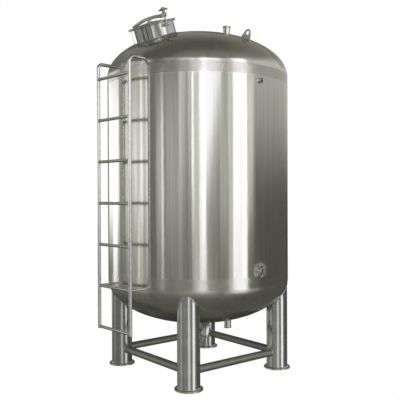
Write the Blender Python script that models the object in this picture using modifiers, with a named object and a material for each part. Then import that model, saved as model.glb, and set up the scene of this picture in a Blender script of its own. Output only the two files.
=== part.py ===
"""Upright stainless steel storage tank on four tubular legs.

A rolled shell is closed by two dished heads. Round braces tie the legs together, a tube
ladder climbs the left side to a tilted manway, and the nozzles, level ports and lifting lugs
sit along the front. Metres, +Z up, floor at z = 0. The ladder side is -X, the ports face -Y.
"""
import math

import bmesh
import bpy
from mathutils import Vector

GAP = 0.0003                      # between pieces that touch
MERGE = 0.0001

SHELL_R = 0.800                   # outside radius of the shell
SHEET = 0.005
LOWER_TANGENT = 0.793             # where the bottom head starts to curve
UPPER_TANGENT = 2.569
STRAIGHT_FLANGE = 0.083           # straight skirt of each head, up to its seam
HEAD_DEPTH = 0.382
ROUND_STEPS = 64
HEAD_STEPS = 9

LEG_CIRCLE_R = 0.7025             # from the tank's axis to a leg's axis
LEG_R = 0.0915
LEG_STEPS = 30                    # keeps the legs' edges off the heads' edges
FOOT_R = 0.1145
FOOT_T = 0.012
BRACE_R = 0.0325
BRACE_Z = 0.1415

SERVICE_BEARING = math.radians(184.0)   # the ladder and manway, round from +X
LADDER_R = 0.9125                 # from the tank's axis to the plane of the stiles
LADDER_HALF = 0.2135              # half the distance between the stiles' axes
STILE_R = 0.014
STILE_STEPS = 16
STILE_BEND_R = 0.040
LADDER_TOP_Z = 2.613              # axis of the stiles' returns to the head
RUNG_R = 0.0125
RUNG_COUNT = 7
RUNG_FIRST_Z = 0.4537
RUNG_PITCH = 0.3385
RUNG_END_IN = 0.0105              # a rung's end, short of the stile's axis
STANDOFF_R = 0.009

MANWAY_REACH = 0.486              # from the tank's axis to where the neck's axis leaves the head
MANWAY_RISE = 0.0965              # along the neck's axis, from the head to the rim
NECK_R = 0.1835
NECK_WALL = 0.004
RIM_R = 0.206                     # lid
FLANGE_R = 0.202
FLANGE_T = 0.005
GASKET_T = 0.004
GASKET_IN_R = 0.1815
GASKET_OUT_R = 0.198
LID_T = 0.005
LID_DOME_R = 0.170
LID_DOME_RISE = 0.020

CLAMP_TURN = math.radians(8.0)    # the clamp and hinge line, downhill from the manway's side
HINGE_Y = -0.278                  # hinge pin, in the clamp's own frame
HINGE_Z = 0.030
HINGE_PIN_R = 0.006
HINGE_EYE_R = 0.014
ARM_HALF_T = 0.008
ARM_HALF_H = 0.0135
ARM_CROWN_Z = 0.0565              # the arm's middle line over the lid's centre
ARM_TIP_Z = 0.043
CHEEK_T = 0.006
CHEEK_CLEAR = 0.0008
BOSS_R = 0.016
BOSS_Y = -0.020

BOLT_Y = 0.219                    # swing bolt's axis, in the clamp's own frame
BOLT_PIVOT_Z = -0.032
BOLT_R = 0.007
BOLT_EYE_R = 0.012
BOLT_TOP_Z = 0.094
FORK_BOTTOM_Z = 0.028
FORK_TOP_Z = 0.060
FORK_START_Y = 0.178
FORK_PAST_BOLT = 0.006
FORK_HALF_W = 0.020
FORK_SLOT_HALF = 0.009

WHEEL_Z = 0.085
WHEEL_R = 0.034
WHEEL_RING_R = 0.005
HUB_R = 0.012
HUB_TOP_Z = 0.106
SPOKE_R = 0.003
SPOKE_COUNT = 4

NOZZLE_Y = -0.400                 # top nozzle and bottom outlet, in front of the tank's axis
NOZZLE_R = 0.029
NOZZLE_STEPS = 22                 # also off the heads' edges, as are the ports
NOZZLE_WALL = 0.003
TOP_NOZZLE_LENGTH = 0.060
TOP_LIP_R = 0.0335
TOP_LIP_T = 0.010
OUTLET_LENGTH = 0.059
OUTLET_LIP_R = 0.0315
OUTLET_LIP_T = 0.006

PORT_R = 0.0195
PORT_BORE_R = 0.015
PORT_LENGTH = 0.022
UPPER_PORT_Z = 2.446
LOWER_PORT_Z = 0.9225
PAD_HALF_W = 0.037
PAD_HALF_H = 0.050
PAD_CORNER = 0.020
PAD_T = 0.006

LUG_REACH = 0.600                 # from the tank's axis to the middle of a lug's foot
LUG_TURN = math.radians(3.0)      # the lugs' line from the tank's front to its rear
LUG_HALF_BASE = 0.0565
LUG_TOP_R = 0.032
LUG_EYE_R = 0.018
LUG_EYE_Z = 0.050
LUG_T = 0.010

LADDER_OUT = (LADDER_R * math.cos(SERVICE_BEARING - math.pi)
              + LADDER_HALF * math.sin(SERVICE_BEARING - math.pi) + STILE_R)
AXIS_X = (LADDER_OUT - SHELL_R) / 2          # puts the footprint's middle on the origin
AXIS_Y = PORT_LENGTH / 2

STEEL = (0.60, 0.59, 0.56)
BRIGHT = (0.66, 0.65, 0.62)
SILICONE = (0.80, 0.80, 0.78)


def start_scene():
    for obj in list(bpy.data.objects):
        bpy.data.objects.remove(obj)
    parts = bpy.data.collections.new("storage_tank")
    tools = bpy.data.collections.new("cutters")
    for group in (parts, tools):
        bpy.context.scene.collection.children.link(group)
    return parts, tools


PARTS, CUTTERS = start_scene()


def finish(name, colour, roughness, metallic):
    mat = bpy.data.materials.new(name)
    mat.use_nodes = True
    shader = mat.node_tree.nodes["Principled BSDF"]
    shader.inputs["Base Color"].default_value = (*colour, 1.0)
    shader.inputs["Roughness"].default_value = roughness
    shader.inputs["Metallic"].default_value = metallic
    return mat


def empty(name, parent=None, location=(0, 0, 0), rotation=(0, 0, 0)):
    obj = bpy.data.objects.new(name, None)
    PARTS.objects.link(obj)
    obj.parent = parent
    obj.location = location
    obj.rotation_euler = rotation
    return obj


def place(name, mesh, parent, location, rotation, colour, roughness, cutter):
    obj = bpy.data.objects.new(name, mesh)
    obj.parent = parent
    obj.location = location
    obj.rotation_euler = rotation
    if cutter:
        CUTTERS.objects.link(obj)
        obj.hide_render = True
        obj.display_type = "WIRE"
        return obj
    PARTS.objects.link(obj)
    metallic = 0.0 if colour == SILICONE else 1.0
    mesh.materials.append(finish(name, colour, roughness, metallic))
    mesh.shade_smooth()
    mesh.set_sharp_from_angle(angle=math.radians(35))
    return obj


def turned(name, profile, parent, steps=ROUND_STEPS, location=(0, 0, 0), rotation=(0, 0, 0),
           colour=STEEL, roughness=0.22, cutter=False, closed=False):
    """Turn an outline, given from the top down its outer side, round the local Z axis."""
    mesh = bpy.data.meshes.new(name)
    last = len(profile) - 1
    edges = [(i, i + 1) for i in range(last)]
    if closed:
        edges.append((last, 0))
    mesh.from_pydata([(x, 0, z) for x, z in profile], edges, [])
    obj = place(name, mesh, parent, location, rotation, colour, roughness, cutter)
    screw = obj.modifiers.new("turn", "SCREW")
    screw.axis = "Z"
    screw.angle = math.tau
    screw.steps = steps
    screw.render_steps = steps
    screw.use_merge_vertices = True
    screw.merge_threshold = MERGE
    screw.use_smooth_shade = True
    return obj


def rod(name, radius, start, end, parent, steps=24, colour=STEEL, roughness=0.25, cutter=False):
    """A round bar between two points of the parent's frame."""
    start, end = Vector(start), Vector(end)
    along = end - start
    bm = bmesh.new()
    bmesh.ops.create_cone(bm, cap_ends=True, segments=steps, radius1=radius, radius2=radius,
                          depth=along.length)
    mesh = bpy.data.meshes.new(name)
    bm.to_mesh(mesh)
    bm.free()
    turn = along.to_track_quat("Z", "X").to_euler()
    return place(name, mesh, parent, (start + end) / 2, turn, colour, roughness, cutter)


def block(name, low, high, parent, colour=STEEL, roughness=0.25, cutter=False):
    low, high = Vector(low), Vector(high)
    bm = bmesh.new()
    bmesh.ops.create_cube(bm, size=1.0)
    bmesh.ops.scale(bm, vec=high - low, verts=bm.verts)
    mesh = bpy.data.meshes.new(name)
    bm.to_mesh(mesh)
    bm.free()
    return place(name, mesh, parent, (low + high) / 2, (0, 0, 0), colour, roughness, cutter)


def curve_mesh(curve, name):
    """The curve's evaluated mesh with its caps welded on."""
    guide = bpy.data.objects.new(name + "_curve", curve)
    CUTTERS.objects.link(guide)
    bpy.context.view_layer.update()
    seen = guide.evaluated_get(bpy.context.evaluated_depsgraph_get())
    mesh = bpy.data.meshes.new_from_object(seen)
    mesh.name = name
    bm = bmesh.new()
    bm.from_mesh(mesh)
    bmesh.ops.remove_doubles(bm, verts=bm.verts, dist=MERGE / 4)
    bmesh.ops.recalc_face_normals(bm, faces=bm.faces)
    bm.to_mesh(mesh)
    bm.free()
    bpy.data.objects.remove(guide)
    return mesh


def plate(name, outlines, thickness, parent, location=(0, 0, 0), rotation=(0, 0, 0),
          colour=STEEL, roughness=0.25, cutter=False):
    """A flat plate; the first outline is its edge and any others are holes in it."""
    curve = bpy.data.curves.new(name, "CURVE")
    curve.dimensions = "2D"
    curve.fill_mode = "BOTH"
    curve.extrude = thickness / 2
    for outline in outlines:
        spline = curve.splines.new("POLY")
        spline.points.add(len(outline) - 1)
        for point, (x, y) in zip(spline.points, outline):
            point.co = (x, y, 0, 1)
        spline.use_cyclic_u = True
    mesh = curve_mesh(curve, name)
    return place(name, mesh, parent, location, rotation, colour, roughness, cutter)


def tube(name, points, radius, parent, colour=STEEL, roughness=0.25, cutter=False):
    """A round bar along a path that stays in one plane of constant y."""
    bm = bmesh.new()
    rows = []
    points = [Vector(point) for point in points]
    for i, point in enumerate(points):
        ahead = (points[min(i + 1, len(points) - 1)] - point).normalized()
        behind = (point - points[max(i - 1, 0)]).normalized()
        along = (ahead + behind).normalized()
        stretch = 1 / max(along.dot(ahead), along.dot(behind))
        across = Vector((along.z, 0, -along.x)) * stretch
        turns = [math.tau * (k + 0.5) / STILE_STEPS for k in range(STILE_STEPS)]
        rows.append([bm.verts.new(point + radius * (math.cos(a) * across
                                                    + math.sin(a) * Vector((0, 1, 0))))
                     for a in turns])
    for row, after in zip(rows, rows[1:]):
        for k in range(STILE_STEPS):
            bm.faces.new((row[k - 1], row[k], after[k], after[k - 1]))
    bm.faces.new(rows[0])
    bm.faces.new(rows[-1])
    bmesh.ops.recalc_face_normals(bm, faces=bm.faces)
    mesh = bpy.data.meshes.new(name)
    bm.to_mesh(mesh)
    bm.free()
    return place(name, mesh, parent, (0, 0, 0), (0, 0, 0), colour, roughness, cutter)


def combine(obj, other, how="DIFFERENCE"):
    mod = obj.modifiers.new(how.lower(), "BOOLEAN")
    mod.operation = how
    mod.solver = "EXACT"
    mod.object = other


def arc(cx, cy, radius, start, end, steps):
    """Points of an arc, angles in degrees."""
    turns = [math.radians(start + (end - start) * i / steps) for i in range(steps + 1)]
    return [(cx + radius * math.cos(a), cy + radius * math.sin(a)) for a in turns]


def circle(cx, cy, radius, steps=16):
    return arc(cx, cy, radius, 0, 360 - 360 / steps, steps - 1)


def head_height(reach):
    """Height of a head's outside above its tangent line, that far from the axis."""
    return HEAD_DEPTH * math.sqrt(1 - (reach / SHELL_R) ** 2)


def head_tilt(reach):
    """How far a line square to the head leans outwards there."""
    part = reach / SHELL_R
    return math.atan(HEAD_DEPTH / SHELL_R * part / math.sqrt(1 - part * part))


def dish(radius, depth):
    """An ellipse's quarter from its crown out to its rim, as (reach, height) points."""
    turns = [math.pi / 2 * i / HEAD_STEPS for i in range(HEAD_STEPS + 1)]
    return [(radius * math.sin(a), depth * math.cos(a)) for a in turns]


def head_profile(seam):
    """Half section of the upper head, crown to seam outside and back up inside."""
    outside = [(x, UPPER_TANGENT + z) for x, z in dish(SHELL_R, HEAD_DEPTH)]
    inside = [(x, UPPER_TANGENT + z) for x, z in dish(SHELL_R - SHEET, HEAD_DEPTH - SHEET)]
    return outside + [(SHELL_R, seam), (SHELL_R - SHEET, seam)] + inside[::-1]


def mirrored(profile):
    """The same half section turned over about the middle height of the vessel, bottom up."""
    total = LOWER_TANGENT + UPPER_TANGENT
    return [(x, total - z) for x, z in profile][::-1]


def vessel_cutter(axis, upper):
    """The space of one head with its seat gap, to trim whatever is welded to it."""
    total = LOWER_TANGENT + UPPER_TANGENT
    crown = [(x, UPPER_TANGENT + z) for x, z in dish(SHELL_R + GAP, HEAD_DEPTH + GAP)]
    seam = UPPER_TANGENT - 2 * STRAIGHT_FLANGE
    profile = crown + [(SHELL_R + GAP, seam), (0, seam)]
    if upper:
        return turned("upper_space", profile, axis, cutter=True)
    profile = [(x, total - z) for x, z in profile][::-1]
    return turned("lower_space", profile, axis, cutter=True)


def build_vessel(axis):
    seam_low = LOWER_TANGENT + STRAIGHT_FLANGE
    seam_high = UPPER_TANGENT - STRAIGHT_FLANGE
    inner = SHELL_R - SHEET
    wall = [(SHELL_R, seam_high - GAP / 2), (SHELL_R, seam_low + GAP / 2),
            (inner, seam_low + GAP / 2), (inner, seam_high - GAP / 2)]
    shell = turned("shell", wall, axis, closed=True, roughness=0.14)
    top = turned("top_head", head_profile(seam_high + GAP / 2), axis, roughness=0.12)
    bottom = turned("bottom_head", mirrored(head_profile(seam_high + GAP / 2)), axis,
                    roughness=0.12)
    return shell, top, bottom


def corner_points():
    """The legs' places, named front and rear, left and right."""
    half = LEG_CIRCLE_R / math.sqrt(2)
    for deep, y in (("front", -half), ("rear", half)):
        for side, x in (("left", -half), ("right", half)):
            yield f"{deep}_{side}", x, y


def build_legs(axis, lower_space):
    for corner, x, y in corner_points():
        top = (x, y, LOWER_TANGENT)
        leg = rod("leg_" + corner, LEG_R, (x, y, FOOT_T + GAP), top, axis, steps=LEG_STEPS,
                  colour=BRIGHT)
        combine(leg, lower_space)
        rod("foot_plate_" + corner, FOOT_R, (x, y, 0), (x, y, FOOT_T), axis, steps=40)


def build_braces(axis):
    half = LEG_CIRCLE_R / math.sqrt(2)
    cut = {}
    for corner, x, y in corner_points():
        foot = (x, y, BRACE_Z - 2 * BRACE_R)
        head = (x, y, BRACE_Z + 2 * BRACE_R)
        cut[corner] = rod("leg_space_" + corner, LEG_R + GAP, foot, head, axis,
                          steps=LEG_STEPS, cutter=True)
    runs = {"front": (-half, -half, half, -half), "rear": (-half, half, half, half),
            "left": (-half, -half, -half, half), "right": (half, -half, half, half)}
    for side, (x0, y0, x1, y1) in runs.items():
        brace = rod("brace_" + side, BRACE_R, (x0, y0, BRACE_Z), (x1, y1, BRACE_Z), axis)
        for corner, space in cut.items():
            if side in corner:
                combine(brace, space)


def stile_path(y):
    """Straight up, then a quarter bend inwards to the head."""
    bend_x = LADDER_R - STILE_BEND_R
    bend_z = LADDER_TOP_Z - STILE_BEND_R
    corner = [(x, y, z) for x, z in arc(bend_x, bend_z, STILE_BEND_R, 0, 90, 6)]
    foot = (LADDER_R, y, RUNG_FIRST_Z - STILE_R)
    return [foot] + corner + [(SHELL_R - 4 * STILE_BEND_R, y, LADDER_TOP_Z)]


def build_ladder(axis, upper_space, lower_space):
    frame = empty("ladder_frame", axis, rotation=(0, 0, SERVICE_BEARING))
    low = RUNG_FIRST_Z - RUNG_PITCH
    high = RUNG_FIRST_Z + RUNG_COUNT * RUNG_PITCH
    spaces = []
    for side, y in (("front", LADDER_HALF), ("rear", -LADDER_HALF)):
        stile = tube("ladder_stile_" + side, stile_path(y), STILE_R, frame, colour=BRIGHT)
        combine(stile, upper_space)
        space = tube("stile_space_" + side, [(LADDER_R, y, low), (LADDER_R, y, high)],
                     STILE_R + GAP, frame, cutter=True)
        spaces.append(space)
        z = RUNG_FIRST_Z + RUNG_PITCH
        bar = rod("ladder_standoff_" + side, STANDOFF_R, (SHELL_R - 0.1, y, z),
                  (LADDER_R, y, z), frame, steps=12, colour=BRIGHT)
        combine(bar, space)
        combine(bar, lower_space)
    reach = LADDER_HALF - RUNG_END_IN
    for number in range(RUNG_COUNT):
        z = RUNG_FIRST_Z + number * RUNG_PITCH
        rung = rod(f"ladder_rung_{number + 1}", RUNG_R, (LADDER_R, -reach, z),
                   (LADDER_R, reach, z), frame, steps=16, colour=BRIGHT)
        for space in spaces:
            combine(rung, space)


def manway_frame(axis):
    """Centre of the rim; local Z up the neck, X downhill, Y to the front."""
    tilt = head_tilt(MANWAY_REACH)
    reach = MANWAY_REACH + MANWAY_RISE * math.sin(tilt)
    height = UPPER_TANGENT + head_height(MANWAY_REACH) + MANWAY_RISE * math.cos(tilt)
    place_at = (reach * math.cos(SERVICE_BEARING), reach * math.sin(SERVICE_BEARING), height)
    return empty("manway_frame", axis, place_at, (0, tilt, SERVICE_BEARING))


def ring(name, inner, outer, low, high, parent, steps=48, **look):
    section = [(outer, high), (outer, low), (inner, low), (inner, high)]
    return turned(name, section, parent, steps=steps, closed=True, **look)


def build_neck(frame, top_head, upper_space):
    flange_top = -GASKET_T / 2 - GAP
    flange_low = flange_top - FLANGE_T
    depth = 3 * MANWAY_RISE
    inner = NECK_R - NECK_WALL
    neck = ring("manway_neck", inner, NECK_R, -depth, flange_low - GAP, frame, colour=BRIGHT)
    combine(neck, upper_space)
    mouth = rod("manway_space", inner, (0, 0, -depth), (0, 0, depth), frame, steps=48,
                cutter=True)
    combine(top_head, mouth)
    ring("manway_flange", inner, FLANGE_R, flange_low, flange_top, frame)
    ring("manway_gasket", GASKET_IN_R, GASKET_OUT_R, -GASKET_T / 2, GASKET_T / 2, frame,
         colour=SILICONE, roughness=0.5)


def lid_profile():
    """Half section of the dished lid, crown to rim on top and back under."""
    low = GASKET_T / 2 + GAP
    sphere = (LID_DOME_R ** 2 + LID_DOME_RISE ** 2) / (2 * LID_DOME_RISE)
    steps = 6
    reaches = [LID_DOME_R * i / steps for i in range(steps + 1)]
    dome = [(x, math.sqrt(sphere ** 2 - x * x) - sphere + LID_DOME_RISE) for x in reaches]
    top = [(x, low + LID_T + z) for x, z in dome]
    under = [(x, low + z) for x, z in dome]
    return top + [(RIM_R, low + LID_T), (RIM_R, low)] + under[::-1]


def arm_outline():
    """Side view of the bow arm: a round eye, then an even bar, level over the boss."""
    steps = 4
    level = 1.2 * BOSS_R
    tip_y = FORK_START_Y + MERGE * 20
    root_z = HINGE_Z + 0.002
    middle = []
    for i in range(1, steps + 1):
        share = i / steps
        y = HINGE_Y + (BOSS_Y - level - HINGE_Y) * share
        middle.append((y, root_z + (ARM_CROWN_Z - root_z) * math.sin(share * math.pi / 2)))
    for i in range(steps + 1):
        share = i / steps
        y = BOSS_Y + level + (tip_y - BOSS_Y - level) * share
        fall = 1 - math.cos(share * math.pi / 2)
        middle.append((y, ARM_CROWN_Z + (ARM_TIP_Z - ARM_CROWN_Z) * fall))
    over = [(y, z + ARM_HALF_H) for y, z in middle]
    under = [(y, z - ARM_HALF_H) for y, z in middle]
    eye = arc(HINGE_Y, HINGE_Z, HINGE_EYE_R, 80, 290, 12)
    return eye + under + over[::-1]


SIDE_ON = (math.pi / 2, 0, math.pi / 2)      # a plate's x and y become the frame's Y and Z


def build_cover(neck_frame, frame):
    turned("manway_lid", lid_profile(), neck_frame, steps=48, roughness=0.18)
    hinge = empty("cover_hinge", frame, (0, HINGE_Y, HINGE_Z))
    arm_outlines = [arm_outline(), circle(HINGE_Y, HINGE_Z, HINGE_PIN_R + GAP)]
    shifted = [[(y - HINGE_Y, z - HINGE_Z) for y, z in line] for line in arm_outlines]
    arm = plate("cover_arm", shifted, 2 * ARM_HALF_T, hinge, rotation=SIDE_ON)
    past = BOLT_Y + FORK_PAST_BOLT
    fork = block("fork_blank", (-FORK_HALF_W, FORK_START_Y, FORK_BOTTOM_Z),
                 (FORK_HALF_W, past, FORK_TOP_Z), frame, cutter=True)
    slot = block("fork_slot", (-FORK_SLOT_HALF, BOLT_Y - BOLT_R - 0.003, 0),
                 (FORK_SLOT_HALF, past + FORK_HALF_W, 2 * FORK_TOP_Z), frame, cutter=True)
    combine(arm, fork, "UNION")
    combine(arm, slot)
    lid_top = GASKET_T / 2 + GAP + LID_T + LID_DOME_RISE
    arm_under = ARM_CROWN_Z - ARM_HALF_H
    foot_top = lid_top + 0.005
    boss = [(0, arm_under - GAP), (BOSS_R, arm_under - GAP), (BOSS_R, foot_top),
            (1.5 * BOSS_R, foot_top), (1.5 * BOSS_R, lid_top + GAP), (0, lid_top + GAP)]
    turned("cover_boss", boss, frame, steps=24, location=(0, BOSS_Y, 0))


def build_hinge(frame):
    """Two cheeks out from the neck and up past the rim, with a web between them."""
    out = HINGE_Y - HINGE_EYE_R
    low, shelf = -0.055, -0.017
    wall = -(NECK_R + GAP)
    up = HINGE_Y + HINGE_EYE_R
    outline = [(wall, low), (wall, shelf), (up, shelf)]
    outline += arc(HINGE_Y, HINGE_Z, HINGE_EYE_R, 0, 180, 10) + [(out, low)]
    hole = circle(HINGE_Y, HINGE_Z, HINGE_PIN_R + GAP)
    inside = ARM_HALF_T + CHEEK_CLEAR
    middle = inside + CHEEK_T / 2
    bracket = plate("hinge_bracket", [outline, hole], CHEEK_T, frame, (middle, 0, 0), SIDE_ON)
    twin = plate("hinge_twin", [outline, hole], CHEEK_T, frame, (-middle, 0, 0), SIDE_ON,
                 cutter=True)
    web = block("hinge_web", (-middle, out + 0.001, low + 0.001),
                (middle, wall - 0.001, shelf - 0.004), frame, cutter=True)
    combine(bracket, web, "UNION")
    combine(bracket, twin, "UNION")
    end = inside + CHEEK_T + 0.004
    rod("hinge_pin", HINGE_PIN_R, (-end, HINGE_Y, HINGE_Z), (end, HINGE_Y, HINGE_Z), frame,
        steps=16, colour=BRIGHT)


def build_bolt_lug(frame):
    """Two ears on the neck's front that hold the swing bolt's pin."""
    ear = 0.013
    wall = NECK_R + GAP
    low, high = BOLT_PIVOT_Z - ear, BOLT_PIVOT_Z + ear
    outline = [(wall, low)] + arc(BOLT_Y, BOLT_PIVOT_Z, ear, -90, 90, 10) + [(wall, high)]
    hole = circle(BOLT_Y, BOLT_PIVOT_Z, HINGE_PIN_R + GAP)
    inside = BOLT_R + 0.0015
    middle = inside + CHEEK_T / 2
    lug = plate("bolt_lug", [outline, hole], CHEEK_T, frame, (middle, 0, 0), SIDE_ON)
    twin = plate("bolt_lug_twin", [outline, hole], CHEEK_T, frame, (-middle, 0, 0), SIDE_ON,
                 cutter=True)
    back = block("bolt_lug_back", (-middle, wall, low + 0.001),
                 (middle, wall + 0.006, high - 0.001), frame, cutter=True)
    combine(lug, back, "UNION")
    combine(lug, twin, "UNION")
    end = inside + CHEEK_T + 0.003
    rod("bolt_pin", HINGE_PIN_R, (-end, BOLT_Y, BOLT_PIVOT_Z), (end, BOLT_Y, BOLT_PIVOT_Z),
        frame, steps=16, colour=BRIGHT)


def build_swing_bolt(frame):
    pivot = empty("bolt_pivot", frame, (0, BOLT_Y, BOLT_PIVOT_Z))
    shank = (0, 0, BOLT_TOP_Z - BOLT_PIVOT_Z)
    bolt = rod("swing_bolt", BOLT_R, (0, 0, 0), shank, pivot, steps=16, colour=BRIGHT)
    eye = rod("bolt_eye", BOLT_EYE_R, (-BOLT_R, 0, 0), (BOLT_R, 0, 0), pivot, cutter=True)
    hole = rod("bolt_eye_hole", HINGE_PIN_R + GAP, (-0.02, 0, 0), (0.02, 0, 0), pivot, steps=16,
               cutter=True)
    combine(bolt, eye, "UNION")
    combine(bolt, hole)


def build_handwheel(frame):
    """A hand nut: a round rim carried by sloping spokes, with a domed hub."""
    pivot = empty("wheel_axis", frame, (0, BOLT_Y, WHEEL_Z))
    low = FORK_TOP_Z + GAP - WHEEL_Z
    high = HUB_TOP_Z - WHEEL_Z
    bore_r = BOLT_R + GAP
    bore_top = BOLT_TOP_Z + 0.001 - WHEEL_Z
    hub = [(0, high), (0.6 * HUB_R, high - 0.001), (HUB_R, high - 0.006), (HUB_R, low),
           (bore_r, low), (bore_r, bore_top), (0, bore_top)]
    wheel = turned("handwheel", hub, pivot, steps=24, colour=BRIGHT)
    bm = bmesh.new()
    start = bmesh.ops.create_circle(bm, segments=8, radius=WHEEL_RING_R)["verts"]
    bmesh.ops.rotate(bm, verts=start, matrix=Vector((0, -1, 0)).rotation_difference(
        Vector((0, 0, 1))).to_matrix(), cent=(0, 0, 0))
    bmesh.ops.translate(bm, verts=start, vec=(WHEEL_R, 0, 0))
    bmesh.ops.spin(bm, geom=bm.verts[:] + bm.edges[:], axis=(0, 0, 1), cent=(0, 0, 0),
                   angle=math.tau, steps=32, use_merge=True)
    bmesh.ops.remove_doubles(bm, verts=bm.verts, dist=MERGE)
    bmesh.ops.recalc_face_normals(bm, faces=bm.faces)
    mesh = bpy.data.meshes.new("wheel_rim")
    bm.to_mesh(mesh)
    bm.free()
    rim = place("wheel_rim", mesh, pivot, (0, 0, 0), (0, 0, 0), BRIGHT, 0.2, True)
    rise = high - 0.010
    spokes = []
    for number in range(SPOKE_COUNT):
        turn = math.tau * (number + 0.5) / SPOKE_COUNT
        x, y = math.cos(turn), math.sin(turn)
        near, far = HUB_R - 0.002, WHEEL_R
        spokes.append(rod(f"wheel_spoke_{number + 1}", SPOKE_R, (near * x, near * y, rise),
                          (far * x, far * y, 0), pivot, steps=8, cutter=True))
    for spoke in spokes:
        combine(wheel, spoke, "UNION")
    combine(wheel, rim, "UNION")


def build_nozzles(axis, top_head, bottom_head, upper_space, lower_space):
    """Ferrules on the top and bottom heads, square to the floor, open into the tank."""
    bore = NOZZLE_R - NOZZLE_WALL
    through = 2 * HEAD_DEPTH
    top = UPPER_TANGENT + head_height(-NOZZLE_Y) + TOP_NOZZLE_LENGTH
    neck_low = -2 * TOP_NOZZLE_LENGTH
    taper = TOP_LIP_R - NOZZLE_R
    section = [(TOP_LIP_R, 0), (TOP_LIP_R, -TOP_LIP_T), (NOZZLE_R, -TOP_LIP_T - taper),
               (NOZZLE_R, neck_low), (bore, neck_low), (bore, 0)]
    nozzle = turned("top_nozzle", section, axis, steps=NOZZLE_STEPS, location=(0, NOZZLE_Y, top),
                    closed=True)
    combine(nozzle, upper_space)
    low = LOWER_TANGENT - head_height(-NOZZLE_Y) - OUTLET_LENGTH
    neck_high = 2 * OUTLET_LENGTH
    section = [(NOZZLE_R, neck_high), (NOZZLE_R, OUTLET_LIP_T), (OUTLET_LIP_R, OUTLET_LIP_T),
               (OUTLET_LIP_R, 0), (bore, 0), (bore, neck_high)]
    outlet = turned("bottom_outlet", section, axis, steps=NOZZLE_STEPS, location=(0, NOZZLE_Y, low),
                    closed=True)
    combine(outlet, lower_space)
    for name, head, z in (("top_bore", top_head, top), ("outlet_bore", bottom_head, low)):
        space = rod(name, bore, (0, NOZZLE_Y, z - through), (0, NOZZLE_Y, z + through), axis,
                    cutter=True)
        combine(head, space)


def rounded_rectangle(half_w, half_h, corner):
    x, y = half_w - corner, half_h - corner
    return (arc(x, y, corner, 0, 90, 5) + arc(-x, y, corner, 90, 180, 5)
            + arc(-x, -y, corner, 180, 270, 5) + arc(x, -y, corner, 270, 360, 5))


def build_ports(axis, shell):
    """Threaded sockets on the front wall, bored through the shell."""
    facing = (math.pi / 2, 0, 0)             # the turned piece's Z points out at -Y
    sunk = 0.01
    seat = SHELL_R + GAP
    wall = turned("wall_space", [(0, UPPER_TANGENT), (seat, UPPER_TANGENT),
                                 (seat, LOWER_TANGENT), (0, LOWER_TANGENT)], axis, cutter=True)
    for name, z in (("upper_port", UPPER_PORT_Z), ("lower_port", LOWER_PORT_Z)):
        port = ring(name, PORT_BORE_R, PORT_R, -sunk, PORT_LENGTH, axis, steps=NOZZLE_STEPS,
                    location=(0, -SHELL_R, z), rotation=facing, colour=BRIGHT)
        combine(port, wall)
        space = rod(name + "_bore", PORT_BORE_R, (0, -SHELL_R - 0.1, z), (0, -SHELL_R + 0.1, z),
                    axis, steps=NOZZLE_STEPS, cutter=True)
        combine(shell, space)
    outlines = [rounded_rectangle(PAD_HALF_W, PAD_HALF_H, PAD_CORNER),
                circle(0, 0, PORT_R + GAP, NOZZLE_STEPS)]
    pad = plate("lower_port_pad", outlines, PAD_T + sunk, axis,
                (0, -SHELL_R - PAD_T + (PAD_T + sunk) / 2, LOWER_PORT_Z), facing)
    combine(pad, wall)


def lug_outline():
    """A wide foot running up in two straight edges to a round top."""
    apart = Vector((LUG_HALF_BASE, -LUG_EYE_Z))
    tangent = math.degrees(math.atan2(apart.y, apart.x) + math.acos(LUG_TOP_R / apart.length))
    root = -LUG_HALF_BASE / 2
    top = arc(0, LUG_EYE_Z, LUG_TOP_R, tangent, 180 - tangent, 12)
    return ([(LUG_HALF_BASE, root), (LUG_HALF_BASE, 0)] + top
            + [(-LUG_HALF_BASE, 0), (-LUG_HALF_BASE, root)])


def build_lugs(axis, upper_space):
    height = UPPER_TANGENT + head_height(LUG_REACH)
    outlines = [lug_outline(), circle(0, LUG_EYE_Z, LUG_EYE_R, 20)]
    for side, bearing in (("front", LUG_TURN - math.pi / 2), ("rear", LUG_TURN + math.pi / 2)):
        foot = (LUG_REACH * math.cos(bearing), LUG_REACH * math.sin(bearing), height)
        frame = empty("lug_frame_" + side, axis, foot, (0, head_tilt(LUG_REACH), bearing))
        lug = plate("lifting_lug_" + side, outlines, LUG_T, frame, rotation=(math.pi / 2, 0, 0))
        combine(lug, upper_space)


def build_tank():
    axis = empty("tank_axis", location=(AXIS_X, AXIS_Y, 0))
    upper_space = vessel_cutter(axis, True)
    lower_space = vessel_cutter(axis, False)
    shell, top_head, bottom_head = build_vessel(axis)
    build_legs(axis, lower_space)
    build_braces(axis)
    build_ladder(axis, upper_space, lower_space)
    frame = manway_frame(axis)
    build_neck(frame, top_head, upper_space)
    clamp = empty("clamp_frame", frame, rotation=(0, 0, -CLAMP_TURN))
    build_cover(frame, clamp)
    build_hinge(clamp)
    build_bolt_lug(clamp)
    build_swing_bolt(clamp)
    build_handwheel(clamp)
    build_nozzles(axis, top_head, bottom_head, upper_space, lower_space)
    build_ports(axis, shell)
    build_lugs(axis, upper_space)


build_tank()
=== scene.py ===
# %% [markdown]
# # An upright stainless steel storage tank
#
# The real object is a vessel of rolled and dished stainless sheet on four pipe legs, with a tube
# ladder, a manway with a clamped lid, and a few nozzles. Nearly all of what the eye sees on
# polished steel is a reflection, so this lesson gives as much care to the room around the tank
# as to the tank. The solids come packed from CAD. Here each visible one gets a finer skin with
# real welds, rolled edges and a brushed finish.

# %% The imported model
import math

import bmesh
import bpy
from mathutils import Matrix, Vector


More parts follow.
